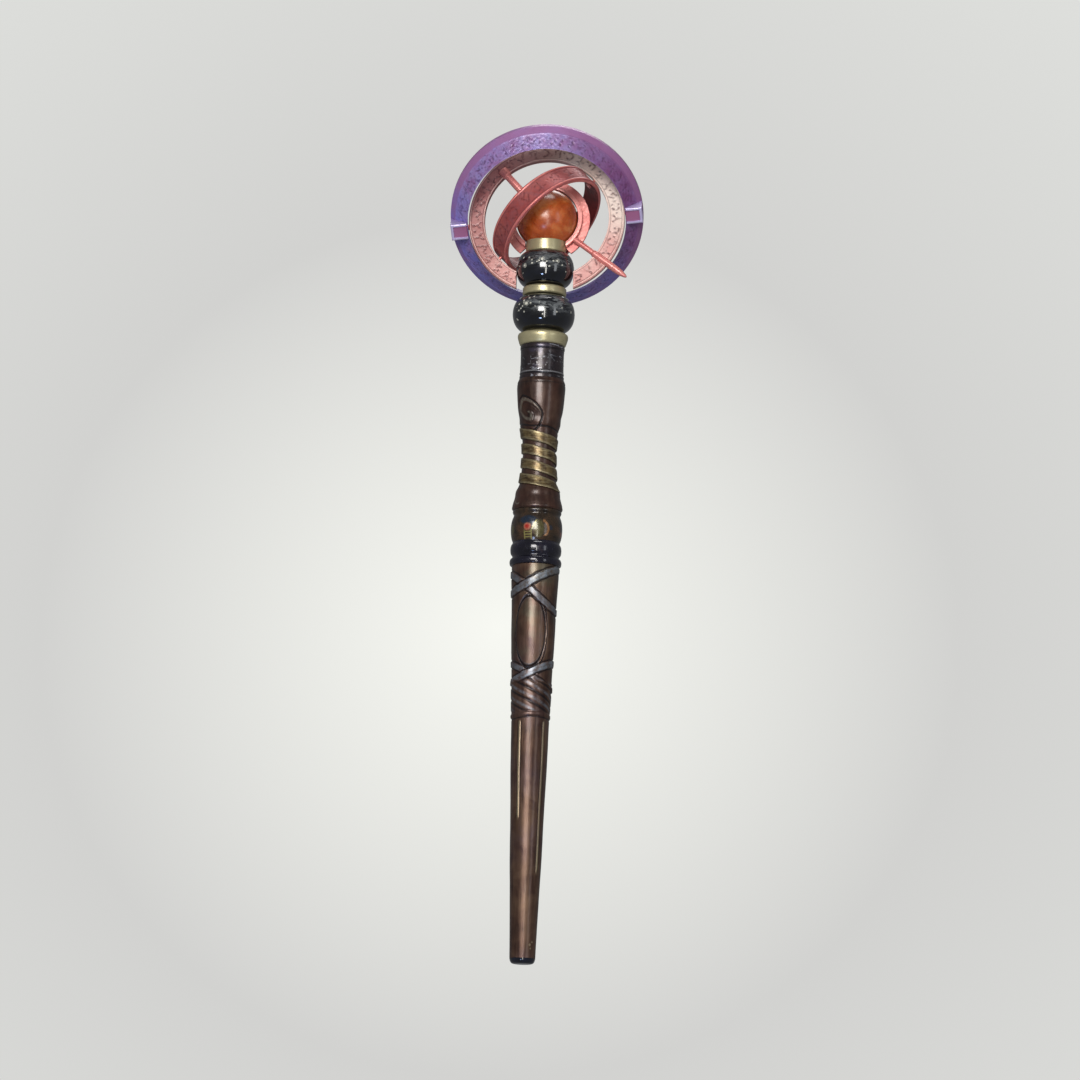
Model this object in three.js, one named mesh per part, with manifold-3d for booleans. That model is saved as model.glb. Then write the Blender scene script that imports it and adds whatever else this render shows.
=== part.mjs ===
// Magic wand with an armillary topper. Millimetres, +Z from the tip up to the topper,
// origin at the centre of the tip's end face, X to the right, Y away from the viewer.
import * as THREE from 'three';
import { mergeVertices } from 'three/addons/utils/BufferGeometryUtils.js';
import Module from 'manifold-3d';

const wasm = await Module();
wasm.setup();

// ---- driving dimensions -------------------------------------------------
const SEG = 24;                 // turned pieces
const RING_SEG = 48;            // armillary rings
const CORE_R = 3.5;             // steel core rod
const BORE_R = 3.8;             // bore for the core rod
const STUD_R = 2.5;             // threaded stud under the orb
const STUD_BORE_R = 2.8;
const CENTRE = [0, 0, 380.5];   // common centre of the orb and every ring
const ORB_R = 15.7;

const HORIZON = { rOut: 49.4, rIn: 40.4, front: [[40.4, 4.4], [46.9, -1.3], [49.4, -4.1]], thick: 3.0 };
const MERIDIAN = { rOut: 40.0, rIn: 31.9, thick: 3.2, bevel: 0.5 };
const BAND = { rOut: 30.6, wall: 1.8, width: 11.5 };
const ORB_RING = { rIn: 16.3, rOut: 18.3, depth: 4.5 };
const TRUNNION_R = 1.4, TRUNNION_HOLE_R = 1.46;
const BAND_PIN_R = 0.8, BAND_PIN_HOLE_R = 0.86;
const BLOCK = { mid: 44.9, size: 8.4, top: 6.0 };
const LAP = 1.2;                // how far the rods sit forward of the meridian plane
const POINTER_TIP = 52.3;

// ring attitudes
const v3 = (a) => new THREE.Vector3(...a).normalize();
const nHorizon = v3([-0.0106, -0.8077, -0.5895]);
const nMeridian = v3([-0.1017, -0.9900, 0.0977]);
const lugAxis = new THREE.Vector3().crossVectors(nHorizon, nMeridian).normalize();
if (lugAxis.x < 0) lugAxis.negate();
const perp = (v, n) => v.clone().addScaledVector(n, -v.dot(n)).normalize();
const bandAxis = v3([0.626, -0.339, -0.702]);
const bandPivot = new THREE.Vector3().crossVectors(nMeridian, bandAxis).normalize();
const pointerDir = perp(v3([0.770, -0.283, -0.571]), nMeridian);
const rodDir = perp(bandAxis, nMeridian).negate();

const basisAt = (x, z, at = CENTRE) => {
  const y = new THREE.Vector3().crossVectors(z, x).normalize();
  return new THREE.Matrix4().makeBasis(x, y, z).setPosition(...at);
};
const horizonM = basisAt(lugAxis, nHorizon);
const meridianM = basisAt(lugAxis, nMeridian);
const bandM = basisAt(bandPivot, bandAxis);
// frame whose local Z runs along dir and whose local X is the meridian normal
const rodM = (dir) => basisAt(nMeridian, dir);

// ---- solid helpers ------------------------------------------------------
const toMf = (geo) => {
  const g = new THREE.BufferGeometry();
  g.setAttribute('position', geo.getAttribute('position').clone());
  if (geo.index) g.setIndex(geo.index.clone());
  const m = mergeVertices(g, 1e-4);
  const p = m.getAttribute('position').array;
  const src = m.index.array;
  const tris = [];
  for (let i = 0; i < src.length; i += 3) {
    const [a, b, c] = [src[i], src[i + 1], src[i + 2]];
    if (a !== b && b !== c && a !== c) tris.push(a, b, c);
  }
  let vol = 0;
  const P = (i) => [p[3 * i], p[3 * i + 1], p[3 * i + 2]];
  for (let i = 0; i < tris.length; i += 3) {
    const [a, b, c] = [P(tris[i]), P(tris[i + 1]), P(tris[i + 2])];
    vol += a[0] * (b[1] * c[2] - b[2] * c[1]) + a[1] * (b[2] * c[0] - b[0] * c[2]) + a[2] * (b[0] * c[1] - b[1] * c[0]);
  }
  if (vol < 0) for (let i = 0; i < tris.length; i += 3) [tris[i + 1], tris[i + 2]] = [tris[i + 2], tris[i + 1]];
  return new wasm.Manifold(new wasm.Mesh({ numProp: 3, vertProperties: new Float32Array(p), triVerts: new Uint32Array(tris) }));
};
const fromMf = (mf) => {
  const m = mf.getMesh();
  const g = new THREE.BufferGeometry();
  g.setAttribute('position', new THREE.BufferAttribute(new Float32Array(m.vertProperties), 3));
  g.setIndex(new THREE.BufferAttribute(new Uint32Array(m.triVerts), 1));
  const flat = g.toNonIndexed();
  flat.computeVertexNormals();
  return flat;
};
const put = (geo, m) => { geo.applyMatrix4(m); return geo; };
// solid of revolution about +Z from [radius, z] pairs
const turned = (pts, seg = SEG, m = null) => {
  const g = new THREE.LatheGeometry(pts.map(([r, z]) => new THREE.Vector2(r, z)), seg);
  g.rotateX(Math.PI / 2);
  if (m) g.applyMatrix4(m);
  return toMf(g);
};
const loop = (pts) => [...pts, pts[0]];
const rod = (r, z0, z1, seg = 20, m = null) => turned([[0, z0], [r, z0], [r, z1], [0, z1]], seg, m);
const box = (x0, x1, y0, y1, z0, z1, m = null) => {
  const g = new THREE.BoxGeometry(x1 - x0, y1 - y0, z1 - z0);
  g.translate((x0 + x1) / 2, (y0 + y1) / 2, (z0 + z1) / 2);
  if (m) g.applyMatrix4(m);
  return toMf(g);
};
// turned piece with a through bore: outer profile bottom to top, bore radii bottom to top
const bored = (outer, bore, seg = SEG) => turned(loop([...outer, ...bore.slice().reverse()]), seg);

const group = new THREE.Group();
const add = (name, mf, color, metalness = 0.3, roughness = 0.5) => {
  const mesh = new THREE.Mesh(fromMf(mf), new THREE.MeshStandardMaterial({ color, metalness, roughness, name }));
  mesh.name = name;
  group.add(mesh);
};

// ---- tip ----------------------------------------------------------------
add('tip_plug', turned([[0, 0], [4.2, 0], [5.4, 0.45], [6.15, 1.5], [6.35, 2.6], [4.7, 2.6], [4.7, 8.0], [0, 8.0]], SEG), 0x101018, 0.1, 0.2);
add('tip_reflector', turned([[0, 8.4], [3.4, 8.4], [4.3, 9.6], [4.6, 11.6], [4.3, 13.4], [2.2, 14.4], [0, 14.4]], 24), 0xd8d8e0, 0.2, 0.2);

// ---- lower shaft --------------------------------------------------------
add('lower_shaft', bored(
  [[6.45, 2.75], [6.75, 15.5], [7.25, 31.8], [7.75, 46], [8.25, 68.4], [8.75, 86.7], [9.25, 104], [9.5, 121.4], [10.0, 124.3], [9.7, 127.4],
   [10.25, 145.7], [10.75, 157.9], [11.35, 180.3], [12.0, 198.6], [11.8, 200.0]],
  [[5.0, 2.75], [5.0, 15.2], [BORE_R, 15.2], [BORE_R, 200.0]]), 0x4a3228, 0.6, 0.45);
add('core_rod', rod(CORE_R, 17.0, 303.0, 24), 0x8a8d90, 0.9, 0.4);

// ---- turned collar, knuckle ball, grip ----------------------------------
add('double_collar', bored(
  [[11.8, 200.0], [12.9, 200.5], [13.0, 202.3], [12.6, 203.6], [11.75, 204.6], [12.4, 205.7], [12.75, 207.4], [12.75, 209.2], [12.3, 210.8], [11.8, 212.2]],
  [[BORE_R, 200.0], [BORE_R, 212.2]]), 0x1c1c2a, 0.5, 0.25);
add('knuckle_ball', bored(
  [[11.8, 212.2], [12.6, 214.6], [13.0, 218.0], [12.95, 220.6], [12.6, 223.0], [11.9, 225.2], [11.75, 226.4], [12.1, 227.6], [12.1, 228.6]],
  [[BORE_R, 212.2], [BORE_R, 228.6]]), 0x2a2018, 0.3, 0.35);
const GRIP = [[12.2, 228.6], [12.7, 229.3], [12.5, 231], [11.5, 235], [11.0, 239], [9.6, 240.6], [9.3, 243], [8.8, 247.4], [8.4, 253.5], [8.4, 261.6],
  [9.0, 266.5], [9.6, 271.0], [10.15, 273.0], [10.3, 275.9], [11.3, 280], [11.75, 284], [12.1, 289], [12.25, 293], [11.4, 296.2]];
add('grip', bored(GRIP, [[BORE_R, 228.6], [BORE_R, 296.2]]), 0x3a231c, 0.2, 0.45);

// flat strap wound around the waist of the grip
{
  const PITCH = 7.6, TURNS = 3.75, WIDE = 4.9, LEAN = 1.0;
  const Z_TOP = 269.2;
  const at = (z) => {
    for (let i = 1; i < GRIP.length; i++) if (z <= GRIP[i][1]) {
      const [r0, z0] = GRIP[i - 1], [r1, z1] = GRIP[i];
      return r0 + (r1 - r0) * (z - z0) / (z1 - z0);
    }
    return GRIP[GRIP.length - 1][0];
  };
  const steps = Math.round(TURNS * SEG);
  const pos = [], idx = [];
  for (let i = 0; i <= steps; i++) {
    // starts at the back and comes down over the left side
    const a = Math.PI * 0.5 + (i / SEG) * 2 * Math.PI;
    const taper = Math.min(1, Math.min(i, steps - i) / 5 + 0.25);
    const zc = Z_TOP - PITCH * (i / SEG) + LEAN * -Math.cos(a);
    const w = WIDE / 2;
    const th = 0.95 * taper;
    const prof = [[-w, 0], [w, 0], [w * 0.86, 1], [-w * 0.86, 1]];
    for (const [dz, o] of prof) {
      const z = zc + dz * (0.35 + 0.65 * taper);
      const r = at(z) + 0.22 + o * th;
      pos.push(r * Math.cos(a), r * Math.sin(a), z);
    }
  }
  const n = 4;
  for (let i = 0; i < steps; i++) for (let k = 0; k < n; k++) {
    const a = i * n + k, b = i * n + (k + 1) % n, c = a + n, d = b + n;
    idx.push(a, c, b, b, c, d);
  }
  for (let k = 1; k < n - 1; k++) { idx.push(0, k, k + 1); const e = steps * n; idx.push(e, e + k + 1, e + k); }
  const g = new THREE.BufferGeometry();
  g.setAttribute('position', new THREE.Float32BufferAttribute(pos, 3));
  g.setIndex(idx);
  add('grip_wrap', toMf(g), 0x9a8450, 0.8, 0.4);
}

// ---- neck ---------------------------------------------------------------
add('neck_sleeve', bored(
  [[11.2, 296.2], [11.2, 298.2], [11.0, 304], [11.0, 310.5], [11.3, 312.8], [10.9, 314.0]],
  [[BORE_R, 296.2], [BORE_R, 304.0], [5.3, 304.0], [5.3, 314.0]]), 0x2c2a33, 0.4, 0.4);
add('thread_insert', bored([[5.0, 304.4], [5.0, 313.7]], [[STUD_BORE_R, 304.4], [STUD_BORE_R, 313.7]], 24), 0xb08a4a, 0.9, 0.35);

// ---- beads --------------------------------------------------------------
const bead = (zc, r, h0, h1, n = 6) => {
  const out = [];
  const a0 = Math.asin(Math.max(-0.985, h0)), a1 = Math.asin(Math.min(0.985, h1));
  for (let i = 0; i <= n; i++) { const a = a0 + (a1 - a0) * i / n; out.push([r * Math.pow(Math.cos(a), 0.46), zc + 9.9 * Math.sin(a)]); }
  return out;
};
const LOWER_BEAD = bead(330.6, 15.8, -0.93, 0.97);
const UPPER_BEAD = bead(354.1, 14.8, -0.97, 0.86);
const zb = (p, i) => p[i < 0 ? p.length + i : i][1];
add('flare_collar', bored(
  [[10.9, 314.0], [11.8, 314.5], [12.2, 316.2], [12.75, 317.8], [12.75, 319.0], [12.3, 320.2], [9.2, 320.6], [8.8, zb(LOWER_BEAD, 0)]],
  [[STUD_BORE_R, 314.0], [STUD_BORE_R, zb(LOWER_BEAD, 0)]]), 0xb7a86a, 0.9, 0.35);
add('lower_bead', bored(LOWER_BEAD, [[STUD_BORE_R, zb(LOWER_BEAD, 0)], [STUD_BORE_R, zb(LOWER_BEAD, -1)]], SEG), 0x0c0d12, 0.2, 0.15);
const SPACER = [[10.4, zb(LOWER_BEAD, -1)], [11.1, 341.2], [11.1, 343.6], [10.4, zb(UPPER_BEAD, 0)]];
add('bead_spacer', bored(SPACER, [[STUD_BORE_R, SPACER[0][1]], [STUD_BORE_R, SPACER[3][1]]], SEG), 0xb7a86a, 0.9, 0.35);
add('upper_bead', bored(UPPER_BEAD, [[STUD_BORE_R, zb(UPPER_BEAD, 0)], [STUD_BORE_R, zb(UPPER_BEAD, -1)]], SEG), 0x0c0d12, 0.2, 0.15);
const CUP = [[9.6, zb(UPPER_BEAD, -1)], [10.1, 363.4], [10.2, 366.0], [10.1, 368.9]];
const orbSeat = turned([[0, -ORB_R - 0.08], ...[...Array(17)].map((_, i) => { const a = -Math.PI / 2 + Math.PI * (i + 1) / 18; return [(ORB_R + 0.08) * Math.cos(a), (ORB_R + 0.08) * Math.sin(a)]; }), [0, ORB_R + 0.08]], SEG, new THREE.Matrix4().makeTranslation(...CENTRE));
add('orb_cup', bored(CUP, [[STUD_BORE_R, CUP[0][1]], [STUD_BORE_R, 366.5], [6.5, 366.5], [6.5, 368.9]]).subtract(orbSeat), 0xb7a86a, 0.9, 0.35);
{
  const pts = [[0, -ORB_R]];
  for (let i = 1; i < 18; i++) { const a = -Math.PI / 2 + Math.PI * i / 18; pts.push([ORB_R * Math.cos(a), ORB_R * Math.sin(a)]); }
  pts.push([0, ORB_R]);
  const ball = turned(pts, SEG, new THREE.Matrix4().makeTranslation(...CENTRE));
  add('orb', ball.subtract(rod(STUD_BORE_R, 360, 372.4, 24)), 0x8a4a20, 0.2, 0.25);
}
add('centre_stud', rod(STUD_R, 304.8, 372.0, 20), 0x8f9296, 0.9, 0.4);

// ---- meridian ring, fixed on the stem -----------------------------------
const grow = (pts, d) => pts.map(([r, z]) => [r + d, z]);
const stemKeepOut = turned([[0, 338.0], ...grow(LOWER_BEAD.filter(([, z]) => z > 338.2), 0.12), ...grow(SPACER, 0.12), ...grow(UPPER_BEAD, 0.12), ...grow(CUP, 0.12), [0, 368.9]].filter((p, i, a) => i === 0 || Math.abs(p[1] - a[i - 1][1]) > 1e-6 || Math.abs(p[0] - a[i - 1][0]) > 1e-6), SEG);
{
  const { rIn, rOut, thick, bevel } = MERIDIAN, h = thick / 2;
  let ring = turned(loop([[rIn, -h], [rOut - bevel, -h], [rOut, -h + bevel], [rOut, h - bevel], [rOut - bevel, h], [rIn, h]]), RING_SEG, meridianM);
  // the ring stops at the sides of the upper bead
  ring = ring.subtract(turned([[0, 337.0], [14.4, 337.0], [14.4, 352.0], [0, 352.0]], SEG));
  ring = ring.subtract(stemKeepOut);
  // half laps for the two rods, sockets for the pins
  ring = ring.subtract(turned([[0, 30.0], [1.95, 30.0], [1.95, 41.0], [0, 41.0]], 20, rodM(pointerDir).multiply(new THREE.Matrix4().makeTranslation(LAP, 0, 0))));
  ring = ring.subtract(turned([[0, 30.0], [2.55, 30.0], [2.55, 36.1], [0, 36.1]], 20, rodM(rodDir).multiply(new THREE.Matrix4().makeTranslation(LAP + 0.4, 0, 0))));
  ring = ring.subtract(rod(2.0, 30.0, 33.2, 20, rodM(rodDir).multiply(new THREE.Matrix4().makeTranslation(LAP, 0, 0))));
  for (const s of [1, -1]) {
    ring = ring.subtract(rod(1.06, 36.0, 42.0, 16, basisAt(nMeridian, lugAxis.clone().multiplyScalar(s))));
    ring = ring.subtract(rod(BAND_PIN_HOLE_R, 30.0, 35.6, 16, basisAt(nMeridian, bandPivot.clone().multiplyScalar(s))));
  }
  const parts = ring.decompose().sort((a, b) => b.volume() - a.volume());
  add('meridian_ring', parts[0], 0xd7a59b, 0.3, 0.45);
}
for (const [name, s] of [['right_trunnion_pin', 1], ['left_trunnion_pin', -1]]) {
  add(name, turned([[0, 36.3], [1.0, 36.3], [1.0, 40.15], [TRUNNION_R, 40.15], [TRUNNION_R, 47.6], [0, 47.6]], 20, basisAt(nMeridian, lugAxis.clone().multiplyScalar(s))), 0xb0a0a0, 0.8, 0.4);
}

// ---- inner ring around the orb and its two rods -------------------------
{
  const { rIn, rOut, depth } = ORB_RING, h = depth / 2;
  let ring = turned(loop([[rIn, -h], [22.0, -h], [22.0, -h + 1.35], [rOut, -h + 1.35], [rOut, h], [rIn, h]]), 48, meridianM);
  ring = ring.subtract(stemKeepOut);
  for (const d of [pointerDir, rodDir]) ring = ring.subtract(rod(1.0, 16.8, 20, 16, rodM(d).multiply(new THREE.Matrix4().makeTranslation(LAP * 0.5, 0, 0))));
  const parts = ring.decompose().sort((a, b) => b.volume() - a.volume());
  add('orb_ring', parts[0], 0xe0a090, 0.3, 0.4);
}
const shiftX = (d) => new THREE.Matrix4().makeTranslation(d, 0, 0);
{
  const tenon = rod(0.9, 17.0, 19.0, 16, rodM(rodDir).multiply(shiftX(LAP * 0.5)));
  const body = rod(1.9, 18.5, 33.0, 20, rodM(rodDir).multiply(shiftX(LAP)))
    .add(turned([[0, 31.0], [1.95, 31.0], [2.45, 31.6], [2.45, 35.4], [1.9, 36.0], [0, 36.0]], 20, rodM(rodDir).multiply(shiftX(LAP + 0.4))));
  // the fat end sits in its own seat
  add('upper_rod', body.add(tenon), 0xe1a5a0, 0.3, 0.4);
  const tenon2 = rod(0.9, 17.0, 19.0, 16, rodM(pointerDir).multiply(shiftX(LAP * 0.5)));
  const point = turned([[0, 18.5], [1.5, 18.5], [1.5, 30.6], [1.85, 31.2], [1.85, 46.5], [1.2, 50.2], [0.45, POINTER_TIP], [0, POINTER_TIP]], 20, rodM(pointerDir).multiply(shiftX(LAP)));
  add('pointer_rod', point.add(tenon2), 0xe1a5a0, 0.3, 0.4);
}

// ---- equatorial band, turns on two pins in the meridian ring ------------
{
  const { rOut, wall, width } = BAND, h = width / 2;
  let band = turned(loop([[rOut - wall, -h], [rOut - 0.3, -h], [rOut, -h + 0.3], [rOut, h - 0.3], [rOut - 0.3, h], [rOut - wall, h]]), RING_SEG, bandM);
  for (const s of [1, -1]) band = band.subtract(rod(0.9, 27, 32, 16, basisAt(nMeridian, bandPivot.clone().multiplyScalar(s))));
  add('equatorial_band', band, 0xbe5a5a, 0.3, 0.45);
}
for (const [name, s] of [['band_pin_upper', 1], ['band_pin_lower', -1]]) {
  add(name, turned([[0, 27.4], [1.6, 27.4], [1.6, 28.6], [BAND_PIN_R, 28.6], [BAND_PIN_R, 35.2], [0, 35.2]], 16, basisAt(nMeridian, bandPivot.clone().multiplyScalar(s))), 0xb0a0a0, 0.8, 0.4);
}

// ---- horizon ring, swings on the trunnion pins --------------------------
{
  const f = HORIZON.front, t = HORIZON.thick;
  let ring = turned(loop([...f, [HORIZON.rOut, f[2][1] - t], [HORIZON.rIn, f[0][1] - t]]), RING_SEG, horizonM);
  for (const s of [1, -1]) ring = ring.subtract(rod(TRUNNION_HOLE_R, 38.5, 50.0, 20, basisAt(nHorizon, lugAxis.clone().multiplyScalar(s))));
  add('horizon_ring', ring, 0x82609a, 0.4, 0.45);
  const below = () => turned(loop([[20, -25], [64, -25], [64, f[2][1] + 0.06], [f[2][0], f[2][1] + 0.06], [f[1][0], f[1][1] + 0.06], [f[0][0], f[0][1] + 0.06], [20, f[0][1] + 0.06]]), RING_SEG, horizonM);
  for (const [name, s] of [['right_bearing_block', 1], ['left_bearing_block', -1]]) {
    const x = [BLOCK.mid - BLOCK.size / 2, BLOCK.mid + BLOCK.size / 2].map((v) => v * s).sort((a, b) => a - b);
    let b = box(x[0], x[1], -BLOCK.size / 2, BLOCK.size / 2, -5, BLOCK.top, horizonM);
    b = b.subtract(below()).subtract(rod(TRUNNION_HOLE_R, 38.5, 48.0, 20, basisAt(nHorizon, lugAxis.clone().multiplyScalar(s))));
    add(name, b, 0xb9a8cc, 0.4, 0.45);
  }
}

export default group;
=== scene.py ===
import bpy
import math
import numpy as np
from mathutils import Matrix, Vector


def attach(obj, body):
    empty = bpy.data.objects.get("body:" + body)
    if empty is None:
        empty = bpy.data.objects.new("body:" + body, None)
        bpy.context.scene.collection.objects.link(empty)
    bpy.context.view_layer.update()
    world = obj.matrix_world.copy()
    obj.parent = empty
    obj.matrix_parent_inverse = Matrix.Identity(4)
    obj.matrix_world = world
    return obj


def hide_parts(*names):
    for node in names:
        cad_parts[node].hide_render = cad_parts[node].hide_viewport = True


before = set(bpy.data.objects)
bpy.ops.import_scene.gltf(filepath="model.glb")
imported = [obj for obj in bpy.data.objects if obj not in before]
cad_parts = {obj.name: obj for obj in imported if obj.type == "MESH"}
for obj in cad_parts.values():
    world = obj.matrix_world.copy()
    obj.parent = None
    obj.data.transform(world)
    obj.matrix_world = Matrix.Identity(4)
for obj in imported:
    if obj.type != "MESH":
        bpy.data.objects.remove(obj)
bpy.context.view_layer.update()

MM = 0.001
O = np.array([0.0, 0.0, 380.5])


def unit(v):
    v = np.array(v, float)
    return v / np.linalg.norm(v)


def flat_to(v, n):
    v = np.array(v, float)
    return unit(v - n * np.dot(v, n))


N1 = unit([-0.0106, -0.8077, -0.5895])        # horizon ring normal
N2 = unit([-0.1017, -0.9900, 0.0977])        # meridian ring normal
LUG = unit(np.cross(N1, N2))
if LUG[0] < 0:
    LUG = -LUG
BAX = unit([0.626, -0.339, -0.702])          # band axis
BPV = unit(np.cross(N2, BAX))                # band pivot
PTR = flat_to([0.770, -0.283, -0.571], N2)   # pointer
ROD = -flat_to(BAX, N2)

# ---------------------------------------------------------------- camera
VIEW_EL = math.radians(-10.5)
ROLL = math.radians(1.9)
DIST = 2.2 * 1.009
cd = bpy.data.cameras.new("cam")
cam = bpy.data.objects.new("cam", cd)
bpy.context.collection.objects.link(cam)
cd.sensor_width = 36.0
cd.lens = 36.0 * 2.2 / 0.540
cd.clip_end = 100
toward = Vector((0, -math.cos(VIEW_EL), math.sin(VIEW_EL)))
right0 = Vector((1, 0, 0))
up0 = toward.cross(right0) * 1.0
# roll the camera so that the wand leans to the right at the top
right = right0 * math.cos(ROLL) + up0 * math.sin(ROLL)
up = up0 * math.cos(ROLL) - right0 * math.sin(ROLL)
aim = Vector((0.0019, 0, 0.2140))
R = Matrix((right, up, toward)).transposed().to_4x4()
R.translation = aim + toward * DIST
cam.matrix_world = R
bpy.context.scene.camera = cam

# ---------------------------------------------------------------- mesh kit
RNG = np.random.default_rng(7)


def make_mesh(name, verts, faces, body, node=None, material=None, relief=None, sharp=35, extra=None):
    me = bpy.data.meshes.new(name)
    verts = np.asarray(verts, float) * MM
    me.from_pydata(verts.tolist(), [], [list(map(int, f)) for f in faces])
    me.update()
    # outward facing
    vol = 0.0
    co = verts
    for p in list(me.polygons)[:: max(1, len(me.polygons) // 40000)]:
        v = p.vertices
        a = co[v[0]]
        for i in range(1, len(v) - 1):
            vol += float(np.dot(a, np.cross(co[v[i]], co[v[i + 1]])))
    if vol < 0:
        me.flip_normals()
    for p in me.polygons:
        p.use_smooth = True
    me.set_sharp_from_angle(angle=math.radians(sharp))
    # relief: a point value that the materials read as painted shade where it is low and painted highlight where it is
    # high; on the shaft's straps the high end is their blue-silver paint
    if relief is not None:
        at = me.attributes.new("relief", "FLOAT", "POINT")
        at.data.foreach_set("value", np.asarray(relief, np.float32))
    if extra:
        for k, arr in extra.items():
            at = me.attributes.new(k, "FLOAT", "POINT")
            at.data.foreach_set("value", np.asarray(arr, np.float32))
    ob = bpy.data.objects.new(name, me)
    bpy.context.collection.objects.link(ob)
    if material:
        me.materials.append(material)
    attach(ob, body)
    if node:
        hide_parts(node)
    return ob


def spline(pts, step=0.5):
    """Catmull-Rom through the points, sampled about every step mm."""
    P = np.array(pts, float)
    out = []
    for i in range(len(P) - 1):
        p0 = P[i - 1] if i > 0 else 2 * P[0] - P[1]
        p1, p2 = P[i], P[i + 1]
        p3 = P[i + 2] if i + 2 < len(P) else 2 * P[-1] - P[-2]
        d = np.linalg.norm(p2 - p1)
        n = max(1, int(round(d / step)))
        # centripetal-ish tangents
        d0, d2 = max(np.linalg.norm(p1 - p0), 1e-6), max(np.linalg.norm(p3 - p2), 1e-6)
        m1 = (p2 - p1) - d * ((p2 - p0) / (d + d0) - (p1 - p0) / d0) if i > 0 else (p2 - p1)
        m2 = (p2 - p1) + d * ((p3 - p2) / d2 - (p3 - p1) / (d + d2)) if i + 2 < len(P) else (p2 - p1)
        for k in range(n):
            t = k / n
            h00, h10, h01, h11 = 2 * t**3 - 3 * t**2 + 1, t**3 - 2 * t**2 + t, -2 * t**3 + 3 * t**2, t**3 - t**2
            out.append(h00 * p1 + h10 * m1 + h01 * p2 + h11 * m2)
    out.append(P[-1])
    return np.array(out)


def rounded(pts, rad=0.3, n=4, closed=False):
    """Polyline with each inner corner rounded."""
    P = [np.array(p, float) for p in pts]
    out = []
    N = len(P)
    for i in range(N):
        if not closed and i in (0, N - 1):
            out.append(P[i])
            continue
        a, b, c = P[i - 1], P[i], P[(i + 1) % N]
        la, lc = np.linalg.norm(a - b), np.linalg.norm(c - b)
        r = min(rad, 0.45 * la, 0.45 * lc)
        s, e = b + (a - b) / la * r, b + (c - b) / lc * r
        for k in range(n + 1):
            t = k / n
            out.append((1 - t)**2 * s + 2 * t * (1 - t) * b + t**2 * e)
    return np.array(out)


def join(*parts):
    out = [tuple(parts[0][0])]
    for p in parts:
        for q in p:
            if abs(q[0] - out[-1][0]) + abs(q[1] - out[-1][1]) > 1e-5:
                out.append(tuple(q))
    return np.array(out)


def lathe(name, prof, body="wand", node=None, material=None, seg=160, M=None, closed=True, disp=None, nd=None, sharp=35, extra=None):
    """Solid of revolution. prof is a list of (r, z); closed joins its two ends,
    otherwise both ends lie on the axis. disp(theta, z, r) gives (dr, relief) for the first nd points."""
    prof = np.array(prof, float)
    n = len(prof)
    th = np.arange(seg) * 2 * math.pi / seg
    if closed:
        ring = prof
        k0, k1 = 0, n
    else:
        ring = prof[1:-1]
        k0, k1 = 1, n - 1
    Rr = np.repeat(ring[:, 0][:, None], seg, 1)
    Zz = np.repeat(ring[:, 1][:, None], seg, 1)
    T = np.repeat(th[None, :], len(ring), 0)
    rel = np.full(Rr.shape, 0.5)
    if disp is not None:
        m = len(ring) if nd is None else nd
        dr, rl = disp(T[:m], Zz[:m], Rr[:m])
        Rr = Rr.copy()
        Rr[:m] = Rr[:m] + dr
        rel[:m] = rl
    X = Rr * np.sin(T)
    Y = -Rr * np.cos(T)
    V = np.stack([X, Y, Zz], -1).reshape(-1, 3)
    rel = rel.reshape(-1)
    m = len(ring)
    F = []
    idx = np.arange(m * seg).reshape(m, seg)
    rows = range(m) if closed else range(m - 1)
    for i in rows:
        a = idx[i]
        b = idx[(i + 1) % m]
        a2, b2 = np.roll(a, -1), np.roll(b, -1)
        F.append(np.stack([a, a2, b2, b], 1))
    F = np.concatenate(F).tolist()
    if not closed:
        V = np.vstack([V, [[0, 0, prof[0][1]], [0, 0, prof[-1][1]]]])
        rel = np.append(rel, [0.5, 0.5])
        s, e = m * seg, m * seg + 1
        for j in range(seg):
            F.append([s, idx[0][(j + 1) % seg], idx[0][j]])
            F.append([e, idx[-1][j], idx[-1][(j + 1) % seg]])
    if M is not None:
        V = V @ M[:3, :3].T + M[:3, 3]
    ex = {k: f(V) for k, f in extra.items()} if extra else None
    return make_mesh(name, V, F, body, node, material, rel, sharp, ex)


def basis(x, z, at=O):
    x, z = np.array(x, float), np.array(z, float)
    y = np.cross(z, x)
    M = np.eye(4)
    M[:3, 0], M[:3, 1], M[:3, 2], M[:3, 3] = x, y, z, at
    return M


def along(d, shift=0.0):
    """local Z along d, moved forward along the meridian normal"""
    return basis(N2, d, O + N2 * shift)


def sstep(e0, e1, x):
    t = np.clip((x - e0) / (e1 - e0), 0, 1)
    return t * t * (3 - 2 * t)


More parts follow.
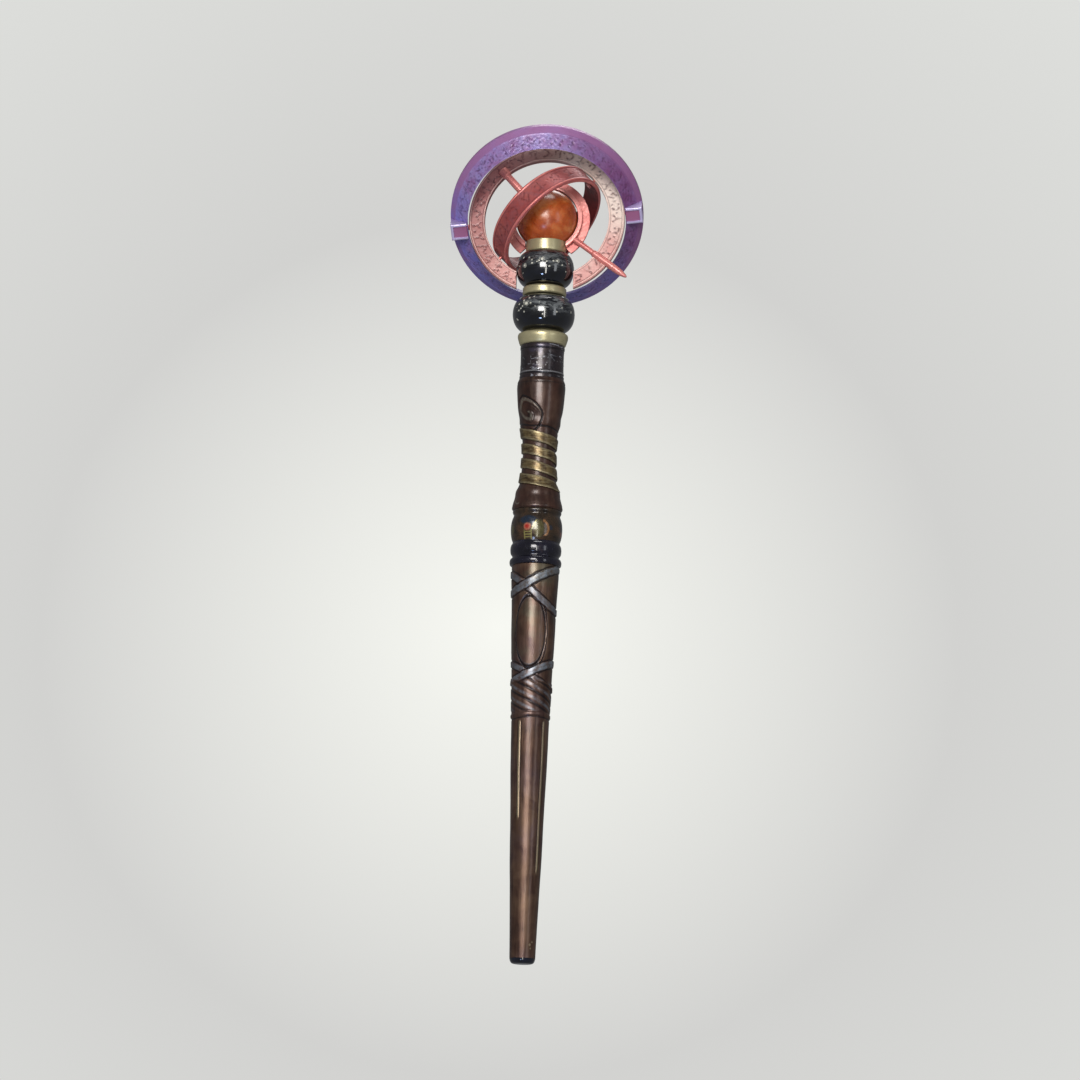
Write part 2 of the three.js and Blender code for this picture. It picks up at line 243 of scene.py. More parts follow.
# ------------------------------------------------------- generic relief marks
def glyph_strokes(count, length, width, seed, cell=6.4):
    """Random strokes of no alphabet: bars, hooks, arcs and dots in cells along a strip."""
    r = np.random.default_rng(seed)
    segs, dots = [], []
    n = int(round(length / cell))
    c = length / n
    h = width * 0.5
    for i in range(n):
        u0 = (i + 0.5) * c
        kind = r.integers(0, 7)
        w = c * 0.27
        if kind == 0:
            segs += [(u0 - w, -h * .8, u0 - w * .3, h * .8), (u0 - w * .3, h * .8, u0 + w, -h * .1)]
        elif kind == 1:
            segs += [(u0 - w * .8, h * .8, u0 - w * .8, -h * .7), (u0 - w * .8, -h * .7, u0 + w * .6, -h * .7), (u0 + w * .6, -h * .7, u0 + w * .6, h * .1)]
        elif kind == 2:
            for k in range(7):
                a0, a1 = math.pi * (0.2 + 1.45 * k / 7), math.pi * (0.2 + 1.45 * (k + 1) / 7)
                segs.append((u0 + w * math.cos(a0), h * .75 * math.sin(a0), u0 + w * math.cos(a1), h * .75 * math.sin(a1)))
        elif kind == 3:
            segs += [(u0, -h * .8, u0, h * .8), (u0 - w, h * .25, u0 + w, h * .55)]
            dots.append((u0 + w * .8, -h * .45, .42))
        elif kind == 4:
            segs += [(u0 - w, h * .7, u0, -h * .1), (u0, -h * .1, u0 + w, h * .7), (u0, -h * .1, u0, -h * .8)]
        elif kind == 5:
            segs += [(u0 - w, -h * .6, u0 + w * .2, -h * .6), (u0 - w * .4, h * .7, u0 + w, h * .2)]
            dots += [(u0 - w * .8, h * .1, .4), (u0 + w * .7, -h * .2, .4)]
        else:
            segs += [(u0 - w * .9, -h * .2, u0 - w * .1, h * .75), (u0 - w * .1, h * .75, u0 + w * .8, -h * .75), (u0 - w * .5, -h * .75, u0 + w * .1, -h * .35)]
        if r.random() < .7:
            dots.append((u0 + c * .47, h * (r.random() * 1.3 - .65), .3 + .2 * r.random()))
    return segs, dots


def strip_height(U, V, length, width, seed, line=0.36, cell=6.4):
    """0..1: 1 on a mark's crown, 0 in the field"""
    segs, dots = glyph_strokes(0, length, width, seed, cell)
    D = np.full(U.shape, 9.0)
    for (a, b, c2, d) in segs:
        lo, hi = min(a, c2) - 1.6, max(a, c2) + 1.6
        m = (U > lo) & (U < hi)
        if not m.any():
            continue
        u, v = U[m], V[m]
        dx, dy = c2 - a, d - b
        t = np.clip(((u - a) * dx + (v - b) * dy) / (dx * dx + dy * dy), 0, 1)
        D[m] = np.minimum(D[m], np.hypot(u - a - t * dx, v - b - t * dy) - line)
    for (a, b, rr) in dots:
        m = np.abs(U - a) < rr + 1.5
        if m.any():
            D[m] = np.minimum(D[m], np.hypot(U[m] - a, V[m] - b) - rr)
    return 1 - sstep(-0.12, 0.30, D), D


def wobble(U, V, seed, scale=3.0, amp=1.0, period=None):
    r = np.random.default_rng(seed)
    out = np.zeros(U.shape)
    for k in range(10):
        f = 2 * math.pi / (scale * (0.6 + 1.2 * r.random()))
        if period:
            f = round(f * period / (2 * math.pi)) * 2 * math.pi / period
        g = 2 * math.pi / (scale * (0.6 + 1.2 * r.random()))
        out += np.sin(f * U + r.random() * 6.28) * np.sin(g * V + r.random() * 6.28)
    return amp * out / 10


def swept_ring(name, section, M, body, node, material, step=0.28, a0=None, a1=None, sharp=35):
    """section: list of (R, h, nR, nh, side, v): a closed loop in the ring's own section; side picks the relief;
    the ring is swept about local Z. a0..a1 in radians for an open ring."""
    sec = section["pts"]
    Rm = section["mean"]
    full = a0 is None
    a0_, a1_ = (0.0, 2 * math.pi) if full else (np.mean(a0), np.mean(a1))
    na = int((a1_ - a0_) * Rm / step)
    A = a0_ + np.arange(na if full else na + 1) * (a1_ - a0_) / na
    k = len(sec)
    Rr = np.array([s[0] for s in sec])
    Hh = np.array([s[1] for s in sec])
    NR = np.array([s[2] for s in sec])
    NH = np.array([s[3] for s in sec])
    AA, KK = np.meshgrid(A, np.arange(k), indexing="ij")
    if not full and np.ndim(a0):
        # the ends follow a0, a1 column by column, easing back to the common spacing
        f = np.arange(na + 1) / na
        w0 = np.clip(1 - f * na * step / 14.0, 0, 1)[:, None]
        w1 = np.clip(1 - (1 - f) * na * step / 14.0, 0, 1)[:, None]
        AA = AA + w0 * (np.asarray(a0)[None, :] - a0_) + w1 * (np.asarray(a1)[None, :] - a1_)
    d = np.zeros(AA.shape)
    rel = np.full(AA.shape, 0.5)
    for side, fn in section["relief"].items():
        cols = [i for i, s in enumerate(sec) if s[4] == side]
        if not cols:
            continue
        U = AA[:, cols] * Rm
        V = np.array([sec[i][5] for i in cols])[None, :] + 0 * U
        dd, rr = fn(U, V)
        d[:, cols] = dd
        rel[:, cols] = rr
    RR = Rr[None, :] + d * NR[None, :]
    HH = Hh[None, :] + d * NH[None, :]
    X, Y = RR * np.cos(AA), RR * np.sin(AA)
    V = np.stack([X, Y, HH], -1).reshape(-1, 3) @ M[:3, :3].T + M[:3, 3]
    n = len(A)
    idx = np.arange(n * k).reshape(n, k)
    F = []
    for i in range(n if full else n - 1):
        a, b = idx[i], idx[(i + 1) % n]
        F.append(np.stack([a, np.roll(a, -1), np.roll(b, -1), b], 1))
    F = np.concatenate(F).tolist()
    if not full:
        F.append(list(idx[0])[::-1])
        F.append(list(idx[-1]))
    return make_mesh(name, V, F, body, node, material, rel.reshape(-1), sharp)


def section_from(points, sides, mean, relief, step=0.3):
    """points: closed polygon of (R, h) corners; sides[i] names the edge from i to i+1 (None = plain)."""
    pts = []
    n = len(points)
    for i in range(n):
        a, b = np.array(points[i], float), np.array(points[(i + 1) % n], float)
        L = np.linalg.norm(b - a)
        t = (b - a) / L
        nr = np.array([t[1], -t[0]])
        m = max(2, int(L / step)) if sides[i] else max(2, min(6, int(L / 0.6)))
        for j in range(m):
            f = j / m
            p = a + (b - a) * f
            pts.append([p[0], p[1], nr[0], nr[1], sides[i] if 0 < j else None, (f - 0.5) * L])
    # outward normals: the loop must run so that nr points out
    area = 0.5 * sum(points[i][0] * points[(i + 1) % n][1] - points[(i + 1) % n][0] * points[i][1] for i in range(n))
    if area < 0:
        for p in pts:
            p[2], p[3] = -p[2], -p[3]
    return {"pts": pts, "mean": mean, "relief": relief}


def ring_attr(ob, name, M, fn):
    """write a point attribute from the vertex's radius, height and angle in the ring's own frame"""
    n = len(ob.data.vertices)
    c = np.empty(n * 3)
    ob.data.vertices.foreach_get("co", c)
    c = (c.reshape(-1, 3) / MM - M[:3, 3]) @ M[:3, :3]
    v = fn(np.hypot(c[:, 0], c[:, 1]), c[:, 2], np.arctan2(c[:, 1], c[:, 0]))
    a = ob.data.attributes.new(name, "FLOAT", "POINT")
    a.data.foreach_set("value", np.clip(v, 0, 1).astype(np.float32))


# ---------------------------------------------------------------- materials
def lin(r, g, b):
    f = lambda c: ((c / 255 + 0.055) / 1.055) ** 2.4 if c > 10 else c / 255 / 12.92
    return (f(r), f(g), f(b), 1.0)


class Mat:
    def __init__(self, name, metallic=0.0, rough=0.4, coat=0.0, coat_rough=0.1, spec=0.5):
        self.m = bpy.data.materials.new(name)
        self.m.use_nodes = True
        self.t = self.m.node_tree
        self.b = self.t.nodes["Principled BSDF"]
        self.b.inputs["Metallic"].default_value = metallic
        self.b.inputs["Roughness"].default_value = rough
        self.b.inputs["Coat Weight"].default_value = coat
        self.b.inputs["Coat Roughness"].default_value = coat_rough
        self.b.inputs["Specular IOR Level"].default_value = spec
        self.co = self.t.nodes.new("ShaderNodeTexCoord").outputs["Object"]
        self.heights = []

    def node(self, kind, **kw):
        n = self.t.nodes.new(kind)
        for k, v in kw.items():
            setattr(n, k, v)
        return n

    def link(self, a, b):
        self.t.links.new(a, b)

    def mapped(self, scale=(1, 1, 1), rot=(0, 0, 0)):
        mp = self.node("ShaderNodeMapping")
        mp.inputs["Scale"].default_value = scale
        mp.inputs["Rotation"].default_value = rot
        self.link(self.co, mp.inputs["Vector"])
        return mp.outputs["Vector"]

    def noise(self, scale, detail=4, rough=0.55, vec=None, distort=0.0):
        n = self.node("ShaderNodeTexNoise")
        n.inputs["Scale"].default_value = scale
        n.inputs["Detail"].default_value = detail
        n.inputs["Roughness"].default_value = rough
        n.inputs["Distortion"].default_value = distort
        self.link(vec if vec is not None else self.co, n.inputs["Vector"])
        return n.outputs["Fac"]

    def attr(self, name="relief"):
        return self.node("ShaderNodeAttribute", attribute_name=name).outputs["Fac"]

    def ramp(self, fac, stops, interp="LINEAR"):
        r = self.node("ShaderNodeValToRGB")
        r.color_ramp.interpolation = interp
        e = r.color_ramp.elements
        while len(e) < len(stops):
            e.new(0.5)
        for el, (p, c) in zip(e, stops):
            el.position = p
            el.color = c if len(c) == 4 else (*c, 1)
        self.link(fac, r.inputs["Fac"])
        return r.outputs["Color"]

    def mix(self, fac, a, b, mode="MIX"):
        n = self.node("ShaderNodeMix", data_type="RGBA", blend_type=mode)
        for s, v in ((0, fac), (6, a), (7, b)):
            if hasattr(v, "is_linked"):
                self.link(v, n.inputs[s])
            elif s == 0:
                n.inputs[0].default_value = v
            else:
                n.inputs[s].default_value = v
        return n.outputs[2]

    def math(self, op, a, b=0.0, clamp=False):
        n = self.node("ShaderNodeMath", operation=op, use_clamp=clamp)
        for i, v in enumerate((a, b)):
            if hasattr(v, "is_linked"):
                self.link(v, n.inputs[i])
            else:
                n.inputs[i].default_value = v
        return n.outputs[0]

    def color(self, out):
        self.link(out, self.b.inputs["Base Color"])
        return self

    def rough(self, out):
        self.link(out, self.b.inputs["Roughness"])
        return self

    def metal(self, out):
        self.link(out, self.b.inputs["Metallic"])
        return self

    def bump(self, height, strength=0.3, dist=0.0002):
        n = self.node("ShaderNodeBump")
        n.inputs["Strength"].default_value = strength
        n.inputs["Distance"].default_value = dist
        self.link(height, n.inputs["Height"])
        if self.heights:
            self.link(self.heights[-1], n.inputs["Normal"])
        self.heights.append(n.outputs["Normal"])
        self.link(n.outputs["Normal"], self.b.inputs["Normal"])
        return self


BW = lambda v: (v, v, v, 1)


def gold_mat(name, base=(196, 184, 120), dark=(112, 100, 52)):
    m = Mat(name, 0.62, 0.36, 0.15, 0.25)
    streak = m.noise(1, 6, 0.7, m.mapped((120, 120, 2600)))
    blot = m.noise(260, 4, 0.6)
    c = m.mix(m.math("MULTIPLY", blot, 0.55), lin(*base), lin(*dark))
    c = m.mix(m.math("MULTIPLY", streak, 0.35), c, lin(236, 228, 176))
    c = m.mix(m.ramp(m.noise(1500, 3), [(0.62, BW(0)), (0.74, BW(0.5))]), c, lin(70, 62, 34))
    m.color(c)
    m.rough(m.ramp(streak, [(0.2, BW(0.24)), (0.8, BW(0.46))]))
    m.bump(streak, 0.25, 0.00012)
    m.bump(m.noise(900, 3), 0.15, 0.0001)
    return m.m


def paint_relief(name, field, tones, dark, edge, rough=(0.3, 0.55), metallic=0.45, coat=0.12, blot_scale=90, dark_amt=0.85, extra=None):
    """Metallic paint over cast relief, with painted shade (the dark colour) in the recesses and painted highlight (the
    bright colour) on the crowns; on the bearing blocks the recess colour is also their reddish slot interior.
    """
    m = Mat(name, metallic, 0.42, coat, 0.2)
    big = m.noise(blot_scale, 3, 0.5)
    mid = m.noise(blot_scale * 4.3, 4, 0.65, distort=0.6)
    fine = m.noise(2600, 3, 0.6)
    c = m.ramp(big, tones)
    c = m.mix(m.ramp(mid, [(0.36, BW(0)), (0.66, BW(0.75))]), c, lin(*field))
    if extra:
        c = extra(m, c)
    rel = m.attr("relief")
    # painted shade: the dark colour fills the recesses, where the relief value is low (on the bearing blocks it is also
    # their reddish slot interior)
    recess_shade_and_slot_tone = m.ramp(rel, [(0.0, BW(dark_amt)), (0.32, BW(dark_amt * 0.45)), (0.5, BW(0.0))])
    c = m.mix(recess_shade_and_slot_tone, c, lin(*dark))
    # painted highlight: the bright colour on the crowns, where the relief value is high
    crown = m.ramp(rel, [(0.55, BW(0)), (0.9, BW(0.8))])
    c = m.mix(crown, c, lin(*edge))
    c = m.mix(m.ramp(m.noise(1500, 4, 0.7), [(0.60, BW(0)), (0.72, BW(0.55))]), c, lin(*dark))
    m.color(c)
    m.rough(m.ramp(mid, [(0.3, BW(rough[0])), (0.75, BW(rough[1]))]))
    m.bump(mid, 0.25, 0.00025)
    m.bump(fine, 0.16, 0.00008)
    return m.m


M_GOLD = gold_mat("gold_brushed", (206, 196, 158), (132, 118, 82))
M_STEEL = gold_mat("steel_turned", (150, 152, 156), (82, 84, 90))

# shaft: bronze-brown metallic paint with a mauve bloom, rubbed crowns and long scratches, and painted shade in the
# grooves
m = Mat("shaft_bronze", 0.62, 0.36, 0.25, 0.18)
grain = m.noise(1, 6, 0.65, m.mapped((420, 420, 26)))
blot = m.noise(75, 4, 0.6, distort=0.5)
c = m.ramp(blot, [(0.25, lin(48, 30, 26)), (0.46, lin(80, 55, 45)), (0.60, lin(102, 77, 60)), (0.78, lin(88, 68, 78))])
c = m.mix(m.ramp(grain, [(0.42, BW(0)), (0.70, BW(0.55))]), c, lin(134, 106, 84))
c = m.mix(m.ramp(m.noise(1, 5, 0.6, m.mapped((700, 700, 40))), [(0.56, BW(0)), (0.70, BW(0.6))]), c, lin(48, 32, 27))
c = m.mix(m.ramp(m.noise(38, 3, 0.5), [(0.50, BW(0)), (0.72, BW(0.5))]), c, lin(76, 60, 72))
sep = m.node("ShaderNodeSeparateXYZ")
m.link(m.co, sep.inputs[0])
upz = m.math("MULTIPLY", m.math("SUBTRACT", sep.outputs["Z"], 0.142), 60.0, True)
c = m.mix(m.math("MULTIPLY", upz, m.ramp(m.noise(62, 4, 0.6), [(0.46, BW(0)), (0.62, BW(0.65))])), c, lin(98, 96, 78))
c = m.mix(m.math("MULTIPLY", upz, m.ramp(m.noise(48, 4, 0.6, distort=0.8), [(0.52, BW(0)), (0.66, BW(0.6))])), c, lin(52, 34, 30))
rel = m.attr("relief")
# painted shade: near black in the grooves, where the relief value is low
c = m.mix(m.ramp(rel, [(0.0, BW(0.92)), (0.34, BW(0.5)), (0.5, BW(0))]), c, lin(22, 19, 26))
c = m.mix(m.math("MULTIPLY", m.ramp(rel, [(0.55, BW(0)), (0.90, BW(0.85))]), m.ramp(m.noise(300, 5, 0.7), [(0.36, BW(0.12)), (0.58, BW(1))])), c, lin(150, 164, 178))
c = m.mix(m.math("MULTIPLY", m.attr("pale"), m.ramp(m.noise(1, 4, 0.6, m.mapped((300, 300, 40))), [(0.30, BW(0.4)), (0.6, BW(0.95))])), c, lin(168, 152, 122))
m.color(c)
m.rough(m.ramp(grain, [(0.25, BW(0.26)), (0.8, BW(0.50))]))
m.bump(grain, 0.20, 0.0002)
m.bump(m.noise(1800, 3), 0.12, 0.00006)
M_SHAFT = m.m

m = Mat("grip_brown", 0.35, 0.36, 0.35, 0.16)
grain = m.noise(1, 6, 0.65, m.mapped((380, 380, 60)))
c = m.ramp(m.noise(90, 4, 0.6), [(0.3, lin(32, 19, 16)), (0.55, lin(66, 40, 31)), (0.8, lin(88, 62, 50))])
c = m.mix(m.ramp(grain, [(0.45, BW(0)), (0.72, BW(0.5))]), c, lin(94, 72, 58))
rel = m.attr("relief")
# painted shade: near black in the carved grooves and veins
c = m.mix(m.ramp(rel, [(0.0, BW(0.95)), (0.34, BW(0.5)), (0.5, BW(0))]), c, lin(18, 14, 18))
# painted highlight on the raised crowns (the leaf's curls); the sunk worn lines on the lower flare take the same pale
# colour as wear
c = m.mix(m.ramp(rel, [(0.55, BW(0)), (0.95, BW(0.7))]), c, lin(150, 146, 132))
c = m.mix(m.ramp(m.noise(1400, 3), [(0.64, BW(0)), (0.74, BW(0.5))]), c, lin(28, 20, 18))
m.color(c)
m.rough(m.ramp(grain, [(0.25, BW(0.26)), (0.8, BW(0.46))]))
m.bump(grain, 0.18, 0.0002)
M_GRIP = m.m

m = Mat("wrap_bronze", 0.72, 0.36, 0.15, 0.2)
grain = m.noise(1, 6, 0.7, m.mapped((160, 160, 1500), (0.25, 0, 0)))
c = m.mix(m.ramp(m.noise(330, 4, 0.65), [(0.30, BW(0)), (0.62, BW(0.9))]), lin(142, 122, 82), lin(70, 52, 38))
c = m.mix(m.ramp(grain, [(0.5, BW(0)), (0.75, BW(0.65))]), c, lin(206, 192, 150))
rel = m.attr("relief")
# painted shade at the strap's edges and underside
c = m.mix(m.ramp(rel, [(0.0, BW(0.95)), (0.4, BW(0.35)), (0.5, BW(0))]), c, lin(34, 22, 18))
# painted highlight along the strap's crown
c = m.mix(m.ramp(rel, [(0.6, BW(0)), (1.0, BW(0.5))]), c, lin(214, 204, 170))
m.color(c)
m.rough(m.ramp(grain, [(0.25, BW(0.26)), (0.8, BW(0.5))]))
m.bump(grain, 0.35, 0.0002)
M_WRAP = m.m

m = Mat("neck_dark", 0.45, 0.32, 0.4, 0.14)
str1 = m.noise(1, 5, 0.6, m.mapped((130, 130, 460), (0.5, 0.2, 0)), 1.2)
str2 = m.noise(1, 4, 0.6, m.mapped((160, 160, 300), (-0.6, 0.3, 0)), 1.5)
c = m.ramp(m.noise(110, 4), [(0.3, lin(26, 22, 30)), (0.55, lin(54, 44, 46)), (0.8, lin(70, 66, 92))])
c = m.mix(m.ramp(str1, [(0.60, BW(0)), (0.66, BW(0.9)), (0.74, BW(0.15))]), c, lin(172, 174, 184))
c = m.mix(m.ramp(str2, [(0.63, BW(0)), (0.68, BW(0.6)), (0.75, BW(0))]), c, lin(140, 138, 140))
rel = m.attr("relief")
# painted shade in the turned grooves
c = m.mix(m.ramp(rel, [(0.0, BW(0.9)), (0.4, BW(0.3)), (0.5, BW(0))]), c, lin(12, 10, 14))
# painted highlight on the raised ring and raised marks
c = m.mix(m.ramp(rel, [(0.55, BW(0)), (0.95, BW(0.85))]), c, lin(168, 168, 172))
m.color(c)
m.rough(m.ramp(m.noise(500, 3), [(0.3, BW(0.22)), (0.7, BW(0.42))]))
m.bump(str1, 0.25, 0.0002)
M_NECK = m.m

m = Mat("collar_black", 0.2, 0.16, 0.6, 0.06)
c = m.ramp(m.noise(120, 4, 0.6), [(0.35, lin(12, 11, 18)), (0.58, lin(24, 22, 38)), (0.78, lin(60, 46, 46))])
c = m.mix(m.ramp(m.noise(900, 3), [(0.62, BW(0)), (0.74, BW(0.5))]), c, lin(90, 88, 110))
m.color(c)
m.rough(m.ramp(m.noise(420, 4), [(0.35, BW(0.12)), (0.72, BW(0.36))]))
m.bump(m.noise(300, 4), 0.12, 0.0002)
M_COLLAR = m.m

m = Mat("ball_dark", 0.25, 0.24, 0.5, 0.08)
c = m.ramp(m.noise(130, 5, 0.65, distort=0.8), [(0.3, lin(24, 17, 12)), (0.5, lin(58, 44, 30)), (0.66, lin(84, 58, 40)), (0.8, lin(46, 52, 40))])
for a, col in (("m_blue", (30, 44, 62)), ("m_olive", (96, 92, 52)), ("m_tan", (150, 106, 66)), ("m_green", (150, 142, 84)), ("m_pink", (190, 116, 92)), ("m_red", (176, 26, 22))):
    c = m.mix(m.math("MULTIPLY", m.attr(a), m.ramp(m.noise(1100, 3), [(0.3, BW(0.55)), (0.55, BW(1))])), c, lin(*col))
m.color(c)
m.rough(m.ramp(m.noise(480, 4), [(0.35, BW(0.16)), (0.72, BW(0.40))]))
m.bump(m.noise(380, 4), 0.15, 0.0002)
M_BALL = m.m

m = Mat("bead_black", 0.0, 0.10, 0.8, 0.04, 0.6)
c = m.ramp(m.noise(150, 4, 0.6), [(0.4, lin(4, 5, 8)), (0.7, lin(9, 13, 26))])
worn = m.noise(1, 5, 0.7, m.mapped((170, 170, 620), (0.2, 0.1, 0)), 1.0)
wornm = m.math("MULTIPLY", m.ramp(worn, [(0.44, BW(0)), (0.60, BW(0.85))]), m.attr("worn"))
c = m.mix(wornm, c, lin(120, 124, 126))
c = m.mix(m.attr("silver"), c, lin(214, 212, 198))
m.color(c)
m.rough(m.mix(wornm, m.ramp(m.noise(260, 4), [(0.4, BW(0.07)), (0.75, BW(0.22))]), BW(0.42)))
m.bump(m.noise(420, 4), 0.06, 0.0002)
m.bump(m.attr("silver"), 0.4, 0.0002)
M_BEAD = m.m

m = Mat("orb_amber", 0.0, 0.32, 0.25, 0.30)
cl = m.noise(70, 5, 0.6, distort=1.2)
c = m.ramp(cl, [(0.28, lin(150, 58, 18)), (0.5, lin(188, 92, 42)), (0.68, lin(208, 126, 72)), (0.85, lin(180, 82, 34))])
c = m.mix(m.ramp(m.noise(240, 4, 0.6), [(0.5, BW(0)), (0.75, BW(0.25))]), c, lin(140, 60, 26))
m.color(c)
m.b.inputs["Subsurface Weight"].default_value = 0.25
m.b.inputs["Subsurface Radius"].default_value = (0.006, 0.0025, 0.001)
m.b.inputs["Subsurface Scale"].default_value = 1.0
m.rough(m.ramp(m.noise(300, 3), [(0.3, BW(0.20)), (0.7, BW(0.32))]))
m.bump(m.noise(600, 3), 0.05, 0.0001)
M_ORB = m.m

m = Mat("tip_window", 0.0, 0.08, 0.6, 0.03)
m.color(m.ramp(m.noise(400, 3), [(0.4, lin(8, 9, 18)), (0.7, lin(20, 24, 44))]))
m.rough(m.ramp(m.noise(500, 4), [(0.4, BW(0.06)), (0.7, BW(0.2))]))
m.bump(m.noise(300, 3), 0.05, 0.0001)
M_TIP = m.m

m = Mat("reflector_white", 0.0, 0.2)
m.color(m.ramp(m.noise(500, 3), [(0.4, lin(188, 190, 198)), (0.7, lin(222, 224, 230))]))
m.rough(m.ramp(m.noise(700, 3), [(0.4, BW(0.15)), (0.7, BW(0.35))]))
M_REFL = m.m


def horizon_extra(m, c):
    # blue-violet on the marked face, smooth mauve on the bevel, plum at the right, brighter blue low on the left
    face = m.math("SUBTRACT", 1.0, m.attr("bevel"))
    bl = m.math("MULTIPLY", face, m.ramp(m.noise(220, 5, 0.65), [(0.38, BW(0.0)), (0.62, BW(0.6))]))
    c = m.mix(bl, c, lin(156, 150, 208))
    c = m.mix(m.math("MULTIPLY", face, m.ramp(m.noise(420, 4, 0.6), [(0.54, BW(0)), (0.66, BW(0.7))])), c, lin(84, 52, 104))
    c = m.mix(m.math("MULTIPLY", m.attr("right_side"), m.ramp(m.noise(120, 3), [(0.3, BW(0.55)), (0.65, BW(0.9))])), c, lin(118, 60, 110))
    c = m.mix(m.math("MULTIPLY", m.attr("bevel"), 0.7), c, lin(160, 108, 156))
    c = m.mix(m.math("MULTIPLY", m.attr("low_left"), m.ramp(m.noise(100, 3), [(0.35, BW(0.15)), (0.6, BW(0.75))])), c, lin(118, 116, 204))
    return c


# each call gives the field colour, the tones, then the painted-shade colour for the recesses and the painted-highlight
# colour for the crowns
M_HORIZON = paint_relief("horizon_purple", (146, 108, 166), [(0.25, lin(132, 82, 132)), (0.45, lin(158, 118, 172)), (0.62, lin(146, 128, 196)), (0.8, lin(162, 108, 150))],
                         (66, 30, 62), (176, 158, 214), extra=horizon_extra, metallic=0.12)


def meridian_extra(m, c):
    sep = m.node("ShaderNodeSeparateXYZ")
    m.link(m.co, sep.inputs[0])
    # painted highlight: cream towards the upper right; red-brown towards the upper left
    upper_right_highlight = m.math("MULTIPLY", m.math("ADD", m.math("SUBTRACT", sep.outputs["Z"], 0.3905), m.math("MULTIPLY", sep.outputs["X"], 0.75)), 45.0, True)
    c = m.mix(m.math("MULTIPLY", upper_right_highlight, 0.85), c, lin(236, 222, 208))
    ul = m.math("MULTIPLY", m.math("SUBTRACT", m.math("SUBTRACT", m.math("MULTIPLY", sep.outputs["Z"], 0.6), 0.2325), sep.outputs["X"]), 60.0, True)
    c = m.mix(m.math("MULTIPLY", ul, 0.7), c, lin(150, 86, 84))
    return c


M_MERIDIAN = paint_relief("meridian_salmon", (222, 164, 156), [(0.25, lin(196, 116, 108)), (0.5, lin(222, 158, 150)), (0.75, lin(230, 186, 176))],
                          (92, 52, 56), (246, 216, 204), metallic=0.05, extra=meridian_extra, dark_amt=0.8)
M_BAND = paint_relief("band_red", (166, 100, 106), [(0.25, lin(176, 70, 68)), (0.5, lin(196, 96, 92)), (0.75, lin(214, 118, 108))],
                      (92, 26, 30), (236, 142, 130), metallic=0.3, dark_amt=0.85)
# painted shade: a darker copy of the band paint for the band's inner face
M_BAND_IN_SHADE = paint_relief("band_inside_painted_shade", (128, 40, 40), [(0.25, lin(84, 18, 18)), (0.5, lin(132, 38, 36)), (0.75, lin(178, 78, 72))],
                         (50, 8, 10), (206, 108, 98), metallic=0.3)
M_ROD = paint_relief("rod_pink", (226, 140, 134), [(0.25, lin(200, 92, 90)), (0.5, lin(226, 134, 126)), (0.75, lin(238, 168, 158))],
                     (140, 36, 44), (246, 186, 176), metallic=0.3, rough=(0.26, 0.42), dark_amt=0.7, blot_scale=130)
# bearing blocks: the recess colour is their reddish slot interior, and painted shade as well
M_BLOCK = paint_relief("block_lavender", (168, 142, 196), [(0.3, lin(150, 120, 180)), (0.6, lin(178, 158, 212)), (0.8, lin(160, 128, 178))],
                       (168, 88, 116), (206, 196, 230), metallic=0.3, dark_amt=0.8)

# ---------------------------------------------------------------- shaft and stem
TAU = 2 * math.pi


def front_angle(T):
    return (T + math.pi) % TAU - math.pi


lathe("tip_lens", join(rounded([(0, 0), (4.4, 0), (5.5, 0.4), (6.15, 1.4), (6.42, 2.7)], 0.5, 6), rounded([(6.42, 2.7), (4.7, 2.7), (4.7, 8.0), (0, 8.0)], 0.15, 3)),
      node="tip_plug", material=M_TIP, closed=False, seg=128, sharp=40)

BASE = [(6.42, 2.75), (6.75, 15.5), (7.0, 23.6), (7.25, 31.8), (7.5, 39.9), (7.75, 46), (8.0, 54), (8.25, 68.4), (8.5, 78.6), (8.75, 86.7),
        (9.0, 94), (9.25, 106), (9.5, 121.3), (9.8, 130), (10.0, 135.5), (10.25, 145.7), (10.5, 151.8), (10.75, 157.9), (11.0, 165), (11.3, 180.3), (11.6, 187), (11.9, 198.6), (11.8, 200.0)]
outer = spline(BASE, 0.36)
NSH = len(outer)


FILLETS = ((-0.60, 71), (0.80, 44), (-2.3, 52), (2.4, 66), (3.1, 40))


def pale_lines(V):
    th = np.arctan2(V[:, 0], -V[:, 1])
    r = np.hypot(V[:, 0], V[:, 1])
    z = V[:, 2]
    out = np.zeros(len(V))
    for t0, z1 in FILLETS:
        a = (th - t0 + math.pi) % TAU - math.pi
        out = np.maximum(out, (1 - sstep(0.25, 0.8, np.abs(a * r))) * sstep(z1 - 1, z1 + 4, z) * (1 - sstep(119.5, 121.5, z)) * (r > 6.5))
    # rubbed spots by the tip
    for (t0, z0, q) in ((0.55, 9.2, 0.55), (0.75, 10.6, 0.4), (0.62, 7.4, 0.35), (-2.0, 8.0, 0.5)):
        a = (th - t0 + math.pi) % TAU - math.pi
        out = np.maximum(out, 1 - sstep(q - 0.2, q + 0.25, np.hypot(a * r, z - z0)))
    return out * (r > 5.5)


